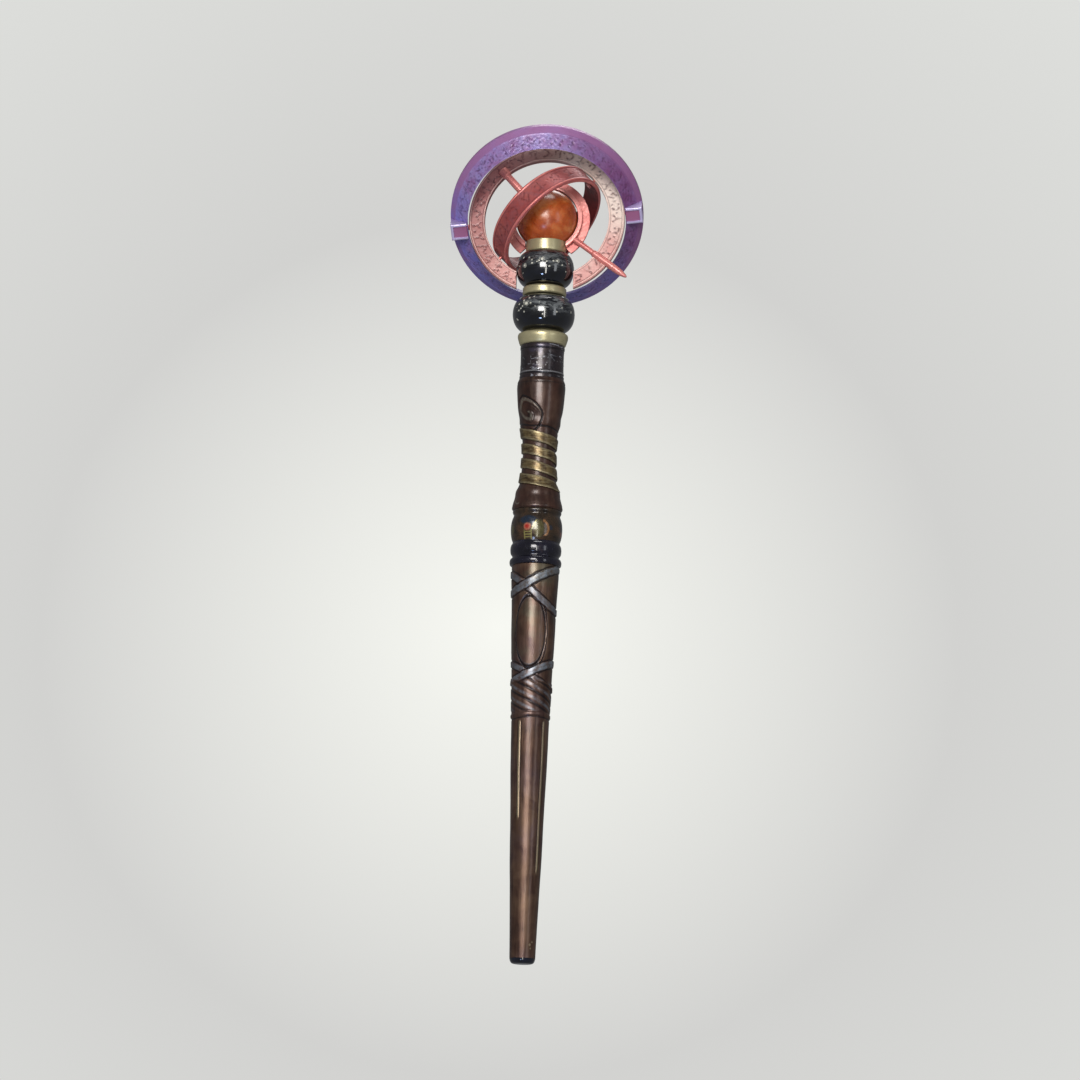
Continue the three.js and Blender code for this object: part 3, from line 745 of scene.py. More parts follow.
def shaft_disp(T, Z, Rr):
    th = front_angle(T)
    d = 0.05 * wobble(th * 10, Z, 3, 9, 1.0, 20 * math.pi)
    rel = np.full(T.shape, 0.5)
    keep = sstep(143.5, 145.5, Z)

    def groove(x, w=0.28, soft=0.32):
        return 1 - sstep(w, w + soft, np.abs(x))
    # ovals, front and back
    for t0, z0, sgn in ((-0.16, 165.8, 1), (-0.16 + math.pi, 165.8, 1)):
        a = (th - t0 + math.pi) % TAU - math.pi
        rho = np.hypot(a * Rr / 8.4, (Z - z0) / 18.2)
        inside = 1 - sstep(0.93, 1.0, rho)
        d += 0.30 * inside * (1 - 0.5 * rho)
        g1 = groove((rho - 1.0) * 9, 0.25, 0.35) * keep
        g2 = groove((rho - 1.14) * 9, 0.12, 0.3) * keep * sstep(0.0, 0.5, np.sin(a) * sgn + 0.35)
        d -= 0.42 * g1 + 0.25 * g2
        rel = rel - 0.5 * np.maximum(g1, 0.8 * g2)
        rim = groove((rho - 0.945) * 9, 0.1, 0.35) * keep
        rel = rel + 0.22 * rim
    # pairs of straps that cross
    for (z0, amp, ph, w, top) in ((186.0, -9.5, 0.1, 1.75, 0), (192.2, 6.6, 0.0, 1.9, 1), (143.6, -6.4, 0.1, 1.5, 0), (145.6, 4.9, 0.0, 1.8, 1)):
        zc = z0 + amp * np.sin(th + ph)
        sl = amp * np.cos(th + ph) / Rr
        dist = np.abs(Z - zc + 0.40 * wobble(th * 10, Z, 71 + int(z0), 4.5, 1.0, 20 * math.pi)) / np.sqrt(1 + sl * sl)
        w = w * (1 + 0.22 * wobble(th * 10, Z, 91 + int(z0), 6.0, 1.0, 20 * math.pi))
        body = 1 - sstep(w - 0.35, w + 0.1, dist)
        edge = groove(dist - (w + 0.42), 0.14, 0.34)
        crease = groove(dist - 0.0, 0.05, 0.22) * 0.5
        if top:
            d = d * (1 - body) + body * (0.44 - 0.05 * dist)
            rel = rel * (1 - body) + body * (0.80 - 0.25 * crease)
        else:
            d = d * (1 - body) + body * 0.34
            rel = rel * (1 - body) + body * 0.74
        d -= 0.30 * edge * (1 - body)
        rel = rel * (1 - edge) + edge * 0.05
    # twisted ribs
    win = sstep(124.8, 126.5, Z) * (1 - sstep(139.5, 142.0, Z))
    ph = (Z + 31.0 * th / TAU) / 6.2
    f = ph - np.floor(ph)
    rib = 1 - sstep(0.30, 0.46, np.abs(f - 0.5))
    d += win * (0.34 * rib - 0.12)
    rel = rel * (1 - win) + win * np.where(rib > 0.5, 0.50 + 0.24 * (rib - 0.5) * 2 * (1 - sstep(0.0, 0.25, np.abs(f - 0.42))), 0.08 + 0.8 * rib)
    # bead line under the ribs, wavy
    wz = 123.9 + 0.5 * np.sin(th * 2 + 1.0)
    bl = np.abs(Z - wz)
    d += 0.42 * (1 - sstep(0.5, 1.3, bl))
    lowline = groove(Z - (wz - 1.6), 0.1, 0.35)
    d -= 0.2 * lowline
    rel = rel * (1 - lowline * 0.8)
    # long thin fillets down the taper
    for t0, z1 in FILLETS:
        a = (th - t0 + math.pi) % TAU - math.pi
        arc = a * Rr
        on = sstep(z1, z1 + 2, Z) * (1 - sstep(120.0, 121.3, Z))
        fil = (1 - sstep(0.25, 0.65, np.abs(arc))) * on
        gr = (1 - sstep(0.1, 0.45, np.abs(np.abs(arc) - 0.95))) * on
        d += 0.16 * fil - 0.12 * gr
        rel = rel * (1 - fil) + fil * 0.5
        rel = rel * (1 - 0.40 * gr)
    # worn end
    dent = wobble(th * 6.5, Z, 11, 2.6, 1.0, 13 * math.pi)
    d -= 0.10 * sstep(0.25, 0.6, dent) * (1 - sstep(8, 30, Z))
    edge_fade = sstep(2.75, 3.2, Z) * (1 - sstep(199.0, 199.8, Z))
    return d * edge_fade, np.clip(rel, 0, 1)


prof = join(outer, rounded([(11.8, 200.0), (3.8, 200.0), (3.8, 15.2), (5.0, 15.2), (5.0, 2.75), (6.2, 2.75)], 0.1, 2))
lathe("shaft_body", prof, node="lower_shaft", material=M_SHAFT, seg=256, disp=shaft_disp, nd=NSH, sharp=60, extra={"pale": pale_lines})

coll = spline([(11.85, 200.05), (12.75, 200.35), (13.05, 201.3), (13.05, 202.4), (12.7, 203.4), (11.85, 204.2), (11.75, 204.8), (12.0, 205.3), (12.6, 206.2), (12.85, 207.6),
               (12.85, 209.2), (12.5, 210.6), (11.95, 211.5), (11.85, 212.15)], 0.25)
lathe("collar_rings", join(coll, [(3.8, 212.15), (3.8, 200.05)]), node="double_collar", material=M_COLLAR, seg=160, sharp=60)

ball = spline([(11.8, 212.2), (12.35, 213.6), (12.8, 215.8), (13.0, 218.4), (12.95, 220.6), (12.6, 222.9), (12.1, 224.6), (11.75, 225.5), (11.7, 226.2), (12.1, 226.9), (12.3, 227.6), (12.1, 228.5)], 0.2)


def ball_marks(V):
    th = np.arctan2(V[:, 0], -V[:, 1])
    r = np.hypot(V[:, 0], V[:, 1])
    u, z = th * 13.0, V[:, 2]
    nz = 0.25 * wobble(u, z, 21, 1.1)

    def blob(u0, z0, ru, rz, soft=0.25):
        q = np.hypot((u - u0) / ru, (z - z0) / rz) + nz * 0.5
        return 1 - sstep(1 - soft, 1 + soft, q)
    return u, z, nz, blob


def mk(fn):
    def g(V):
        u, z, nz, blob = ball_marks(V)
        return np.clip(fn(u, z, nz, blob), 0, 1)
    return g


lathe("ball_turned", join(ball, [(3.8, 228.5), (3.8, 212.2)]), node="knuckle_ball", material=M_BALL, seg=384, sharp=60, extra={
    "m_blue": mk(lambda u, z, nz, b: b(-4.6, 222.2, 4.6, 2.2) + 0.7 * b(7.5, 218.5, 1.2, 1.2) + 0.8 * b(20, 219, 4, 3)),
    "m_olive": mk(lambda u, z, nz, b: b(1.2, 217.6, 2.6, 4.4) * 0.7 + 0.8 * b(-18, 218, 4, 3)),
    "m_tan": mk(lambda u, z, nz, b: np.clip(1 - sstep(0.35, 0.8, np.abs(np.hypot(u - 1.6, (z - 217.6)) - 4.6) + nz * .4), 0, 1) * (u > 3.4) * (z > 214)),
    "m_green": mk(lambda u, z, nz, b: (np.abs(u + 4.6) < 1.9) * (z < 216.6) * (z > 212.6) * (1 - sstep(0.25, 0.6, np.abs((z - 212.7) % 1.3 - 0.65) * 2 - 0.1))
                  + (1 - sstep(0.1, 0.4, np.abs(np.abs(u + 4.6) - 1.9))) * (z < 216.8) + (1 - sstep(.2, .5, np.abs(u + 2.6 - (z - 217) * .5))) * (z > 217) * (z < 222)),
    "m_pink": mk(lambda u, z, nz, b: b(-4.9, 218.6, 1.9, 1.9) + 0.5 * b(17, 216, 1.6, 1.6)),
    "m_red": mk(lambda u, z, nz, b: b(-5.0, 218.7, 1.15, 1.1, 0.35)),
})

GRIP = [(12.3, 228.6), (12.72, 229.2), (12.6, 231), (12.1, 233), (11.55, 235), (11.0, 238.6), (10.2, 240.2), (9.6, 241.6), (9.2, 243.6), (8.75, 247.4), (8.35, 253.5), (8.35, 261.6),
        (8.95, 266.5), (9.6, 270.6), (10.2, 272.4), (10.5, 275.9), (11.3, 280), (11.75, 284), (12.1, 289), (12.25, 292.6), (12.05, 294.6), (11.4, 296.2)]
gouter = spline(GRIP, 0.3)
NG = len(gouter)


def grip_disp(T, Z, Rr):
    th = front_angle(T)
    rel = np.full(T.shape, 0.5)
    d = 0.05 * wobble(th * 10, Z, 5, 8, 1.0, 20 * math.pi)
    # carved leaf on the left front, and its fellow behind
    for t0 in (-0.62, -0.62 + math.pi):
        a = (th - t0 + math.pi) % TAU - math.pi
        v = Z - 277.6
        u = a * 11.3 + 0.32 * v
        rho = (np.abs(u / 8.0) ** 1.5 + np.abs(v / 9.0) ** 1.5) ** (1 / 1.5)
        lobe = (1 - sstep(0.9, 1.0, rho))
        edge = (1 - sstep(0.16, 0.55, np.abs(rho - 1.0) * 7)) * sstep(-0.6, 0.2, u / 8.2 + 0.35 * v / 8.6 + 0.3)
        ang = np.arctan2(v, u)
        curl = np.sin(rho * 7.5 + ang * 1.0 + 0.4)
        vein = (1 - sstep(0.0, 0.35, np.abs(curl))) * (1 - sstep(0.72, 0.92, rho))
        worn_ = 0.35 + 0.65 * sstep(-0.5, 0.4, wobble(u * 1.0, v, 61, 3.0))
        d += 0.24 * lobe * (0.6 + 0.4 * curl) - 0.50 * edge - 0.20 * vein * worn_
        rel = rel - 0.5 * edge - 0.30 * vein * worn_
        # painted highlight on the crests of the leaf's curl, carried by the relief value
        hi = lobe * sstep(0.45, 0.95, curl) * (1 - edge)
        rel = rel + 0.32 * hi * worn_
    # groove where the leaf meets the straps
    zl = 270.9 - 1.4 * np.sin(th) + 0.5 * np.sin(3 * th)
    g = 1 - sstep(0.15, 0.6, np.abs(Z - zl))
    d -= 0.35 * g
    rel = rel * (1 - 0.95 * g)
    # worn lines on the lower flare
    for t0, zz in ((-0.95, 236), (1.9, 235), (-2.4, 236.5)):
        a = (th - t0 + math.pi) % TAU - math.pi
        q = np.abs(np.hypot(a * 11 / 3.2, (Z - zz) / 5.0) - 1.0) * 4
        l = (1 - sstep(0.1, 0.5, q)) * (Z < 239.5) * (a < 0.1)
        d -= 0.22 * l
        rel = rel + 0.3 * l
    # turned line near the top
    t = 1 - sstep(0.05, 0.3, np.abs(Z - 293.6))
    d -= 0.12 * t
    rel = rel - 0.2 * t
    fade = sstep(228.7, 229.4, Z) * (1 - sstep(295.2, 296.0, Z))
    return d * fade, np.clip(rel, 0, 1)


lathe("grip_body", join(gouter, rounded([(11.4, 296.2), (3.8, 296.2), (3.8, 228.6), (12.0, 228.6)], 0.1, 2)), node="grip", material=M_GRIP, seg=288, disp=grip_disp, nd=NG, sharp=60)

# strap wound round the waist
gz, gr = gouter[:, 1], gouter[:, 0]


def grip_r(z):
    return np.interp(z, gz, gr)


def wound_strap():
    pitch, turns, wide, lean, ztop = 7.6, 3.75, 5.5, 1.0, 269.2
    n = 620
    A = np.arange(n + 1) / n * turns
    half = [(-1, 0), (-0.97, 0.55), (-0.9, 0.85), (-0.78, 1.0), (-0.5, 1.06), (-0.2, 1.0), (0, 1.03), (0.25, 1.0), (0.5, 1.06), (0.78, 1.0), (0.9, 0.85), (0.97, 0.55), (1, 0), (0.5, -0.25), (0, -0.3), (-0.5, -0.25)]
    # relief per section point: low at the edges and underside for painted shade, high on the crown for painted
    # highlight
    relv = [0.05, 0.2, 0.75, 0.8, 0.6, 0.5, 0.46, 0.5, 0.6, 0.8, 0.75, 0.2, 0.05, 0.3, 0.3, 0.3]
    k = len(half)
    a = math.pi * 0.5 + A * TAU
    tap = np.minimum(1, np.minimum(A, turns - A) / 0.14 + 0.25)
    rr = np.random.default_rng(5)
    wav = 0.12 * np.sin(A * 9.1) + 0.08 * np.sin(A * 23.3 + 1)
    zc = ztop - pitch * A - lean * np.cos(a) + wav
    V, rel = [], []
    for i in range(n + 1):
        for (w, o), rv in zip(half, relv):
            z = zc[i] + w * wide / 2 * (0.35 + 0.65 * tap[i]) * (1 + 0.03 * math.sin(A[i] * 31))
            r = grip_r(z) + 0.06 + max(o, 0) * 0.72 * tap[i] + min(o, 0) * 0.2
            if o > 0.9:
                r += 0.05 * math.sin(A[i] * 57 + w * 3) * math.sin(w * 5 + A[i] * 21)
            V.append((r * math.cos(a[i]), r * math.sin(a[i]), z))
            rel.append(rv)
    idx = np.arange((n + 1) * k).reshape(n + 1, k)
    F = []
    for i in range(n):
        p, q = idx[i], idx[i + 1]
        F.append(np.stack([p, np.roll(p, -1), np.roll(q, -1), q], 1))
    F = np.concatenate(F).tolist()
    F.append(list(idx[0])[::-1])
    F.append(list(idx[-1]))
    make_mesh("grip_strap", V, F, "wand", "grip_wrap", M_WRAP, rel, 60)


wound_strap()

neck = spline([(11.25, 296.25), (11.3, 297.4), (11.12, 299.0), (11.0, 302), (10.98, 308), (11.05, 310.8), (11.3, 312.4), (11.2, 313.4), (10.9, 314.0)], 0.22)
NN = len(neck)


def neck_disp(T, Z, Rr):
    th = front_angle(T)
    rel = np.full(T.shape, 0.5)
    d = 0.03 * wobble(th * 10, Z, 8, 5, 1.0, 20 * math.pi)
    for z0, w, v in ((298.4, 0.16, -1), (299.3, 0.25, 1), (311.4, 0.14, -1)):
        g = 1 - sstep(w, w + 0.25, np.abs(Z - z0 - 0.12 * np.sin(2 * th + z0)))
        d += (0.16 if v > 0 else -0.28) * g
        rel = rel + (0.30 if v > 0 else -0.45) * g
    U = (th + math.pi) * 11.0
    hgt, D = strip_height(U, Z - 305.2, TAU * 11.0, 7.4, 31, 0.22, 8.6)
    part = sstep(-0.2, 0.3, wobble(U, Z, 33, 2.0, 1.0, TAU * 11.0))
    d += 0.10 * hgt * part
    rel = rel + 0.26 * hgt * part
    fade = sstep(296.4, 297.0, Z) * (1 - sstep(313.2, 313.8, Z))
    return d * fade, np.clip(rel, 0, 1)


lathe("neck_tube", join(neck, [(5.3, 314.0), (5.3, 304.0), (3.8, 304.0), (3.8, 296.25)]), node="neck_sleeve", material=M_NECK, seg=288, disp=neck_disp, nd=NN, sharp=60)

flare = spline([(10.9, 314.0), (11.5, 314.3), (11.95, 315.2), (12.4, 316.6), (12.75, 317.9), (12.8, 318.9), (12.55, 319.7), (11.6, 320.3), (10.0, 320.6), (9.0, 320.75), (8.6, 321.3)], 0.2)
lathe("flare_ring", join(flare, [(2.8, 321.3), (2.8, 314.0)]), node="flare_collar", material=M_GOLD, seg=192, sharp=50)


def bead_profile(zc, r, h0, h1, rin):
    a0, a1 = math.asin(h0), math.asin(h1)
    out = []
    for i in range(90):
        a = a0 + (a1 - a0) * i / 89
        out.append((r * math.cos(a) ** 0.46, zc + 9.9 * math.sin(a)))
    return join(rounded([(rin, out[0][1]), (out[0][0] - 0.3, out[0][1]), out[0]], 0.2, 3), out, rounded([out[-1], (out[-1][0] - 0.3, out[-1][1]), (rin, out[-1][1])], 0.2, 3))


def bead_marks(zc, seed, spots):
    r = np.random.default_rng(seed)
    dots = list(spots)
    for k in range(34):
        t = r.random() * TAU
        dots.append((t, zc + r.normal() * 3.6, 0.22 + 0.3 * r.random()))

    def silver(V):
        th = np.arctan2(V[:, 0], -V[:, 1])
        s = np.zeros(len(V))
        for (t0, z0, rad) in dots:
            a = (th - t0 + math.pi) % TAU - math.pi
            q = np.hypot(a * np.hypot(V[:, 0], V[:, 1]), (V[:, 2] - z0) * 1.1)
            s = np.maximum(s, 1 - sstep(rad - 0.12, rad + 0.12, q))
            if rad > 0.6:       # a small ring round the bigger ones
                s = np.maximum(s, 0.8 * (1 - sstep(0.02, 0.2, np.abs(q - rad - 0.55))) * (np.sin(a * 40) > -0.5))
        return s

    def worn(V):
        th = np.arctan2(V[:, 0], -V[:, 1])
        z = V[:, 2]
        w = np.exp(-((th - 0.25) / 0.75) ** 2 - ((z - zc - 3.0) / 3.4) ** 2)
        w += 0.7 * np.exp(-(((th + 2.6 + math.pi) % TAU - math.pi) / 0.7) ** 2 - ((z - zc - 2) / 4) ** 2)
        return np.clip(w * 1.9, 0, 1)
    return {"silver": silver, "worn": worn}


lathe("bead_low", bead_profile(330.6, 15.8, -0.93, 0.97, 2.8), node="lower_bead", material=M_BEAD, seg=420, sharp=50,
      extra=bead_marks(330.6, 41, [(-0.75, 335.2, 0.5), (-0.55, 336.4, 0.5), (-0.38, 337.0, 0.45), (-0.62, 333.4, 0.95), (-0.95, 333.6, 0.5), (0.62, 331.5, 0.4)]))
lathe("bead_high", bead_profile(354.1, 14.7, -0.97, 0.86, 2.8), node="upper_bead", material=M_BEAD, seg=420, sharp=50,
      extra=bead_marks(354.1, 42, [(-0.12, 356.4, 0.75), (0.42, 355.8, 0.62), (-0.9, 358.0, 0.5), (-0.62, 357.6, 0.42), (-0.5, 356.2, 0.45), (-0.48, 354.4, 0.5), (-0.8, 353.6, 0.65), (-0.3, 355.0, .35), (0.62, 354.0, 0.45)]))
zl1, zh0 = 330.6 + 9.9 * 0.97, 354.1 - 9.9 * 0.97
lathe("spacer_ring", join(rounded([(2.8, zl1), (10.5, zl1), (11.15, zl1 + 0.7), (11.15, zh0 - 0.7), (10.5, zh0), (2.8, zh0)], 0.3, 4)), node="bead_spacer", material=M_GOLD, seg=192, sharp=50)
zc0 = 354.1 + 9.9 * 0.86
cup = [(2.8, zc0), (9.7, zc0), (10.15, zc0 + 0.45), (10.25, zc0 + 1.4), (10.2, 368.4), (9.9, 368.9)]
seat = []
for k in range(14):
    z = 368.9 - k * 0.17
    seat.append((math.sqrt(max(0, 15.78 ** 2 - (380.5 - z) ** 2)), z))
seat = [(min(q, 9.8), z) for q, z in seat if q > 6.5]
lathe("orb_socket", join(rounded(cup, 0.25, 4), seat, [(6.5, seat[-1][1]), (6.5, 366.5), (2.8, 366.5)]), node="orb_cup", material=M_GOLD, seg=192, sharp=50)

oprof = [(0, -15.7)] + [(15.7 * math.cos(a), 15.7 * math.sin(a)) for a in np.linspace(-math.pi / 2 + 0.02, math.pi / 2 - 0.02, 110)] + [(0, 15.7)]
M0 = np.eye(4)
M0[:3, 3] = O
lathe("orb_stone", oprof, node="orb", material=M_ORB, seg=160, M=M0, closed=False, sharp=80,
      disp=lambda T, Z, Rr: (0.10 * wobble(T * 8, Z, 17, 9, 1.0, 16 * math.pi) * (np.abs(Z) < 14), np.full(T.shape, 0.5)))

# inner pieces that can't be seen keep their CAD shapes
for nm, mt in (("core_rod", M_STEEL), ("thread_insert", M_GOLD), ("centre_stud", M_STEEL), ("tip_reflector", M_REFL)):
    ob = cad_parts[nm]
    ob = bpy.data.objects[ob] if isinstance(ob, str) else ob
    ob.data.materials.clear()
    ob.data.materials.append(mt)

# ---------------------------------------------------------------- rings
MER = basis(LUG, N2)
HOR = basis(LUG, N1)
BND = basis(BPV, BAX)


def rim_field(width, rim, raise_, length, seed, line, cell, mark=0.34, field_dark=0.0, dots_only=False):
    """raised rims at both edges, marks standing in the sunk field"""
    def fn(U, V):
        hgt, D = strip_height(U % length, V, length, (width - 2 * rim) * 0.82, seed, line, cell)
        soft = sstep(-0.35, 0.25, wobble(U % length, V, seed + 5, 2.6, 1.0, length))
        hgt = hgt * soft
        r = sstep(width / 2 - rim - 0.25, width / 2 - rim + 0.15, np.abs(V))
        d = raise_ * r - 0.06 * (1 - r) - mark * hgt * (1 - r)
        w = wobble(U, V, seed + 1, 2.2, 1.0, length)
        d += 0.05 * w * (1 - r)
        near = (1 - sstep(0.25, 1.1, D)) * (1 - r) * soft
        pit = sstep(0.45, 0.75, wobble(U % length, V, seed + 7, 1.4, 1.0, length)) * (1 - r)
        d -= 0.14 * pit
        # relief value: it drops in the sunk marks, around them, in the pits and in the groove at the rim's foot, for
        # painted shade, and rises on the raised rims for painted highlight
        rel = 0.5 + 0.26 * r - 0.46 * hgt * (1 - r) - 0.10 * near * (1 - hgt) - 0.30 * pit - field_dark * (1 - r) * (1 - hgt)
        edge = (1 - sstep(0.0, 0.4, np.abs(np.abs(V) - (width / 2 - rim - 0.25))))
        rel -= 0.30 * edge
        rel += 0.10 * w * (1 - r)
        return d, np.clip(rel, 0, 1)
    return fn


# horizon ring
P = [(40.4, 4.4), (46.9, -1.3), (49.4, -4.1), (49.4, -6.8), (49.1, -7.1), (40.6, 1.25), (40.4, 1.45)]
sidesH = ["face", "bevel", None, None, "back", None, None]
LH = TAU * 43.6


def hor_face(U, V):
    W = math.hypot(6.5, 5.7)
    hgt, D = strip_height(U, V + 0.3, LH, W * 0.78, 101, 0.30, 6.0)
    w = wobble(U, V, 102, 2.4, 1.0, LH)
    r = sstep(W / 2 - 0.7, W / 2 - 0.35, V)
    r2 = sstep(W / 2 - 0.55, W / 2 - 0.25, -V)
    soft = sstep(-0.25, 0.35, wobble(U, V, 107, 3.0, 1.0, LH))
    hgt = hgt * soft
    d = -0.18 * hgt + 0.16 * w - 0.08 + 0.16 * r + 0.10 * r2
    pit = sstep(0.28, 0.6, wobble(U, V, 103, 1.25, 1.0, LH))
    ray = sstep(0.25, 0.6, wobble(U * 1.0, V * 0.12, 108, 1.1, 1.0, LH)) * sstep(0.0, 0.4, wobble(U, V * 0.3, 109, 9.0, 1.0, LH))
    d += 0.12 * ray - 0.22 * pit
    # relief value: low in the sunk marks and pits for painted shade, high on the raised rays and rims for painted
    # highlight
    rel = 0.48 - 0.30 * hgt + 0.14 * w - 0.40 * pit + 0.22 * ray + 0.10 * r + 0.25 * r2
    fade = sstep(0, 0.4, W / 2 - np.abs(V))
    return d * fade, np.clip(rel, 0, 1)


def hor_bevel(U, V):
    w = wobble(U, V, 104, 7, 1.0, LH)
    return 0.03 * w, np.clip(0.50 + 0.05 * w, 0, 1)


def hor_back(U, V):
    W = math.hypot(8.5, 8.35)
    w = wobble(U, V, 105, 4, 1.0, LH)
    l = (1 - sstep(0.15, 0.5, np.abs(np.abs(V) - W / 2 + 1.4)))
    return 0.06 * w - 0.25 * l, np.clip(0.48 + 0.12 * w - 0.4 * l, 0, 1)


hoop = swept_ring("horizon_hoop", section_from(P, sidesH, 43.6, {"face": hor_face, "bevel": hor_bevel, "back": hor_back}), HOR, "horizon", "horizon_ring", M_HORIZON, 0.30, sharp=40)

# meridian ring, open where the beads stand
MB = [(31.9, -1.6), (39.6, -1.6), (40.0, -1.2), (40.0, 1.2), (39.6, 1.6), (31.9, 1.6)]
LM = TAU * 35.9
fm = rim_field(7.7, 0.7, 0.16, LM, 201, 0.30, 6.4, 0.30)
fb = rim_field(7.7, 0.7, 0.16, LM, 202, 0.30, 6.4, 0.26)
down = np.array([0, 0, -1.0])
dl = np.array([np.dot(down, MER[:3, 0]), np.dot(down, MER[:3, 1])])
ab = math.atan2(dl[1], dl[0])


def end_angles(R):
    """where a circle of the meridian plane reaches the sides of the bead, x = +-14.5"""
    q = np.linspace(-1.2, 1.2, 4801)
    x = R * (MER[0, 0] * np.cos(ab + q) + MER[0, 1] * np.sin(ab + q))
    hi = ab + q[np.argmin(np.abs(x - 14.5))]
    lo = ab + q[np.argmin(np.abs(x + 14.5))]
    return (hi, lo + TAU) if hi > lo else (lo, hi + TAU)


mer_sec = section_from(MB, ["back", None, "rim", None, "front", "inner"], 35.9,
                       {"front": fm, "back": fb, "rim": lambda U, V: (0 * U, 0.64 + 0 * U), "inner": lambda U, V: (0 * U - 0.02, 0.36 + 0 * U)})
ends = np.array([end_angles(q[0]) for q in mer_sec["pts"]])
mer = swept_ring("meridian_hoop", mer_sec, MER, "wand", "meridian_ring", M_MERIDIAN, 0.28, ends[:, 0], ends[:, 1], sharp=40)

# inner ring around the orb
OB = [(16.3, -2.25), (22.0, -2.25), (22.0, -0.9), (18.3, -0.9), (18.3, 2.25), (16.3, 2.25)]


def orb_outer(U, V):
    g = 1 - sstep(0.35, 0.65, np.abs(V + 1.0))
    return -0.20 * g, np.clip(0.58 - 0.55 * g, 0, 1)


def x_of(r, q):
    return O + r * (MER[:3, 0] * math.cos(q) + MER[:3, 1] * math.sin(q))


ringpts = section_from(OB, ["back", None, "flange", "outer", "front", "inner"], 18.3,
                       {"outer": orb_outer, "flange": lambda U, V: (0.06 * wobble(U, V, 211, 3.0), np.clip(0.60 + 0.08 * wobble(U, V, 212, 2.4) - 0.3 * (V < -1.45), 0, 1)), "front": lambda U, V: (0.05 * np.cos(V * 2.4), 0.72 + 0 * U), "back": lambda U, V: (0 * U, 0.55 + 0 * U), "inner": lambda U, V: (0 * U, 0.3 + 0 * U)}, 0.2)
ro = np.array([math.asin(np.interp(q[0], [16.3, 18.3, 22.0], [10.4, 10.4, 13.1]) / q[0]) for q in ringpts["pts"]])
swept_ring("orb_hoop", ringpts, MER, "wand", "orb_ring", M_ROD, 0.22, ab + ro, ab - ro + TAU, sharp=40)

# band
w2 = 5.75
BB = [(28.8, -w2), (30.3, -w2), (30.6, -w2 + 0.3), (30.6, w2 - 0.3), (30.3, w2), (28.8, w2)]
LB = TAU * 30.6
fband = rim_field(10.9, 1.0, 0.20, LB, 301, 0.20, 9.5, 0.16, 0.16)
BR = BND.copy()
band = swept_ring("band_hoop", section_from(BB, [None, None, "outer", None, "edge", "inner"], 30.0,
                  {"outer": fband, "edge": lambda U, V: (0 * U, 0.74 + 0 * U), "inner": lambda U, V: (0.05 * wobble(U, V, 303, 5, 1, LB), 0.42 + 0.25 * wobble(U, V, 304, 6, 1, LB))}),
                  BR, "band", "equatorial_band", M_BAND, 0.28, sharp=40)
# the inner faces get the darker copy: painted shade inside the band
band.data.materials.append(M_BAND_IN_SHADE)
co = np.empty(len(band.data.vertices) * 3)
band.data.vertices.foreach_get("co", co)
co = (co.reshape(-1, 3) / MM - O) @ BND[:3, :3]
rad = np.hypot(co[:, 0], co[:, 1])
for p in band.data.polygons:
    if all(rad[v] < 29.0 for v in p.vertices):
        p.material_index = 1

# ---------------------------------------------------------------- rods, pins and blocks
FL = np.full


def rod_disp(T, Z, Rr):
    w = wobble(T * 1.9, Z, 401, 3.4, 1.0, 3.8 * math.pi)
    return 0.04 * w, np.clip(0.5 + 0.12 * w, 0, 1)


upper = rounded([(0, 18.4), (1.9, 18.4), (1.9, 30.9), (2.45, 31.4), (2.5, 35.2), (2.0, 35.9), (0, 36.1)], 0.35, 5)
up_pts = join([(0, 18.4)], rounded([(0.01, 18.4), (1.9, 18.4), (1.9, 24.0), (1.86, 30.7), (2.45, 31.3), (2.5, 35.2), (2.0, 35.9), (0.01, 36.1)], 0.35, 5), [(0, 36.1)])
lathe("rod_upper", up_pts, node="upper_rod", material=M_ROD, seg=48, M=along(ROD, 1.2), closed=False, disp=rod_disp, sharp=50)
pt_pts = join([(0, 18.4)], rounded([(0.01, 18.4), (1.5, 18.4), (1.5, 24.0), (1.48, 30.4), (1.86, 30.9), (1.9, 40.0), (1.86, 46.0), (1.45, 49.0), (0.85, 51.4), (0.35, 52.2), (0.01, 52.3)], 0.3, 5), [(0, 52.3)])
lathe("rod_pointer", pt_pts, node="pointer_rod", material=M_ROD, seg=48, M=along(PTR, 1.2), closed=False, disp=rod_disp, sharp=50)

for s, nm in ((1, "right"), (-1, "left")):
    lathe("trunnion_" + nm, join([(0, 36.3)], rounded([(0.01, 36.3), (1.0, 36.3), (1.0, 40.1), (1.4, 40.15), (1.4, 47.3), (0.01, 47.6)], 0.15, 3), [(0, 47.6)]),
          node=nm + "_trunnion_pin", material=M_ROD, seg=40, M=basis(N2, LUG * s), closed=False, sharp=50)
for s, nm in ((1, "upper"), (-1, "lower")):
    lathe("pivot_" + nm, join([(0, 27.4)], rounded([(0.01, 27.4), (1.6, 27.4), (1.6, 28.6), (0.8, 28.6), (0.8, 35.1), (0.01, 35.2)], 0.15, 3), [(0, 35.2)]),
          body="band", node="band_pin_" + nm, material=M_ROD, seg=36, M=basis(N2, BPV * s), closed=False, sharp=50)


def cone_h(r):
    return np.interp(r, [30, 40.4, 46.9, 49.4, 60], [4.4, 4.4, -1.3, -4.1, -4.1])


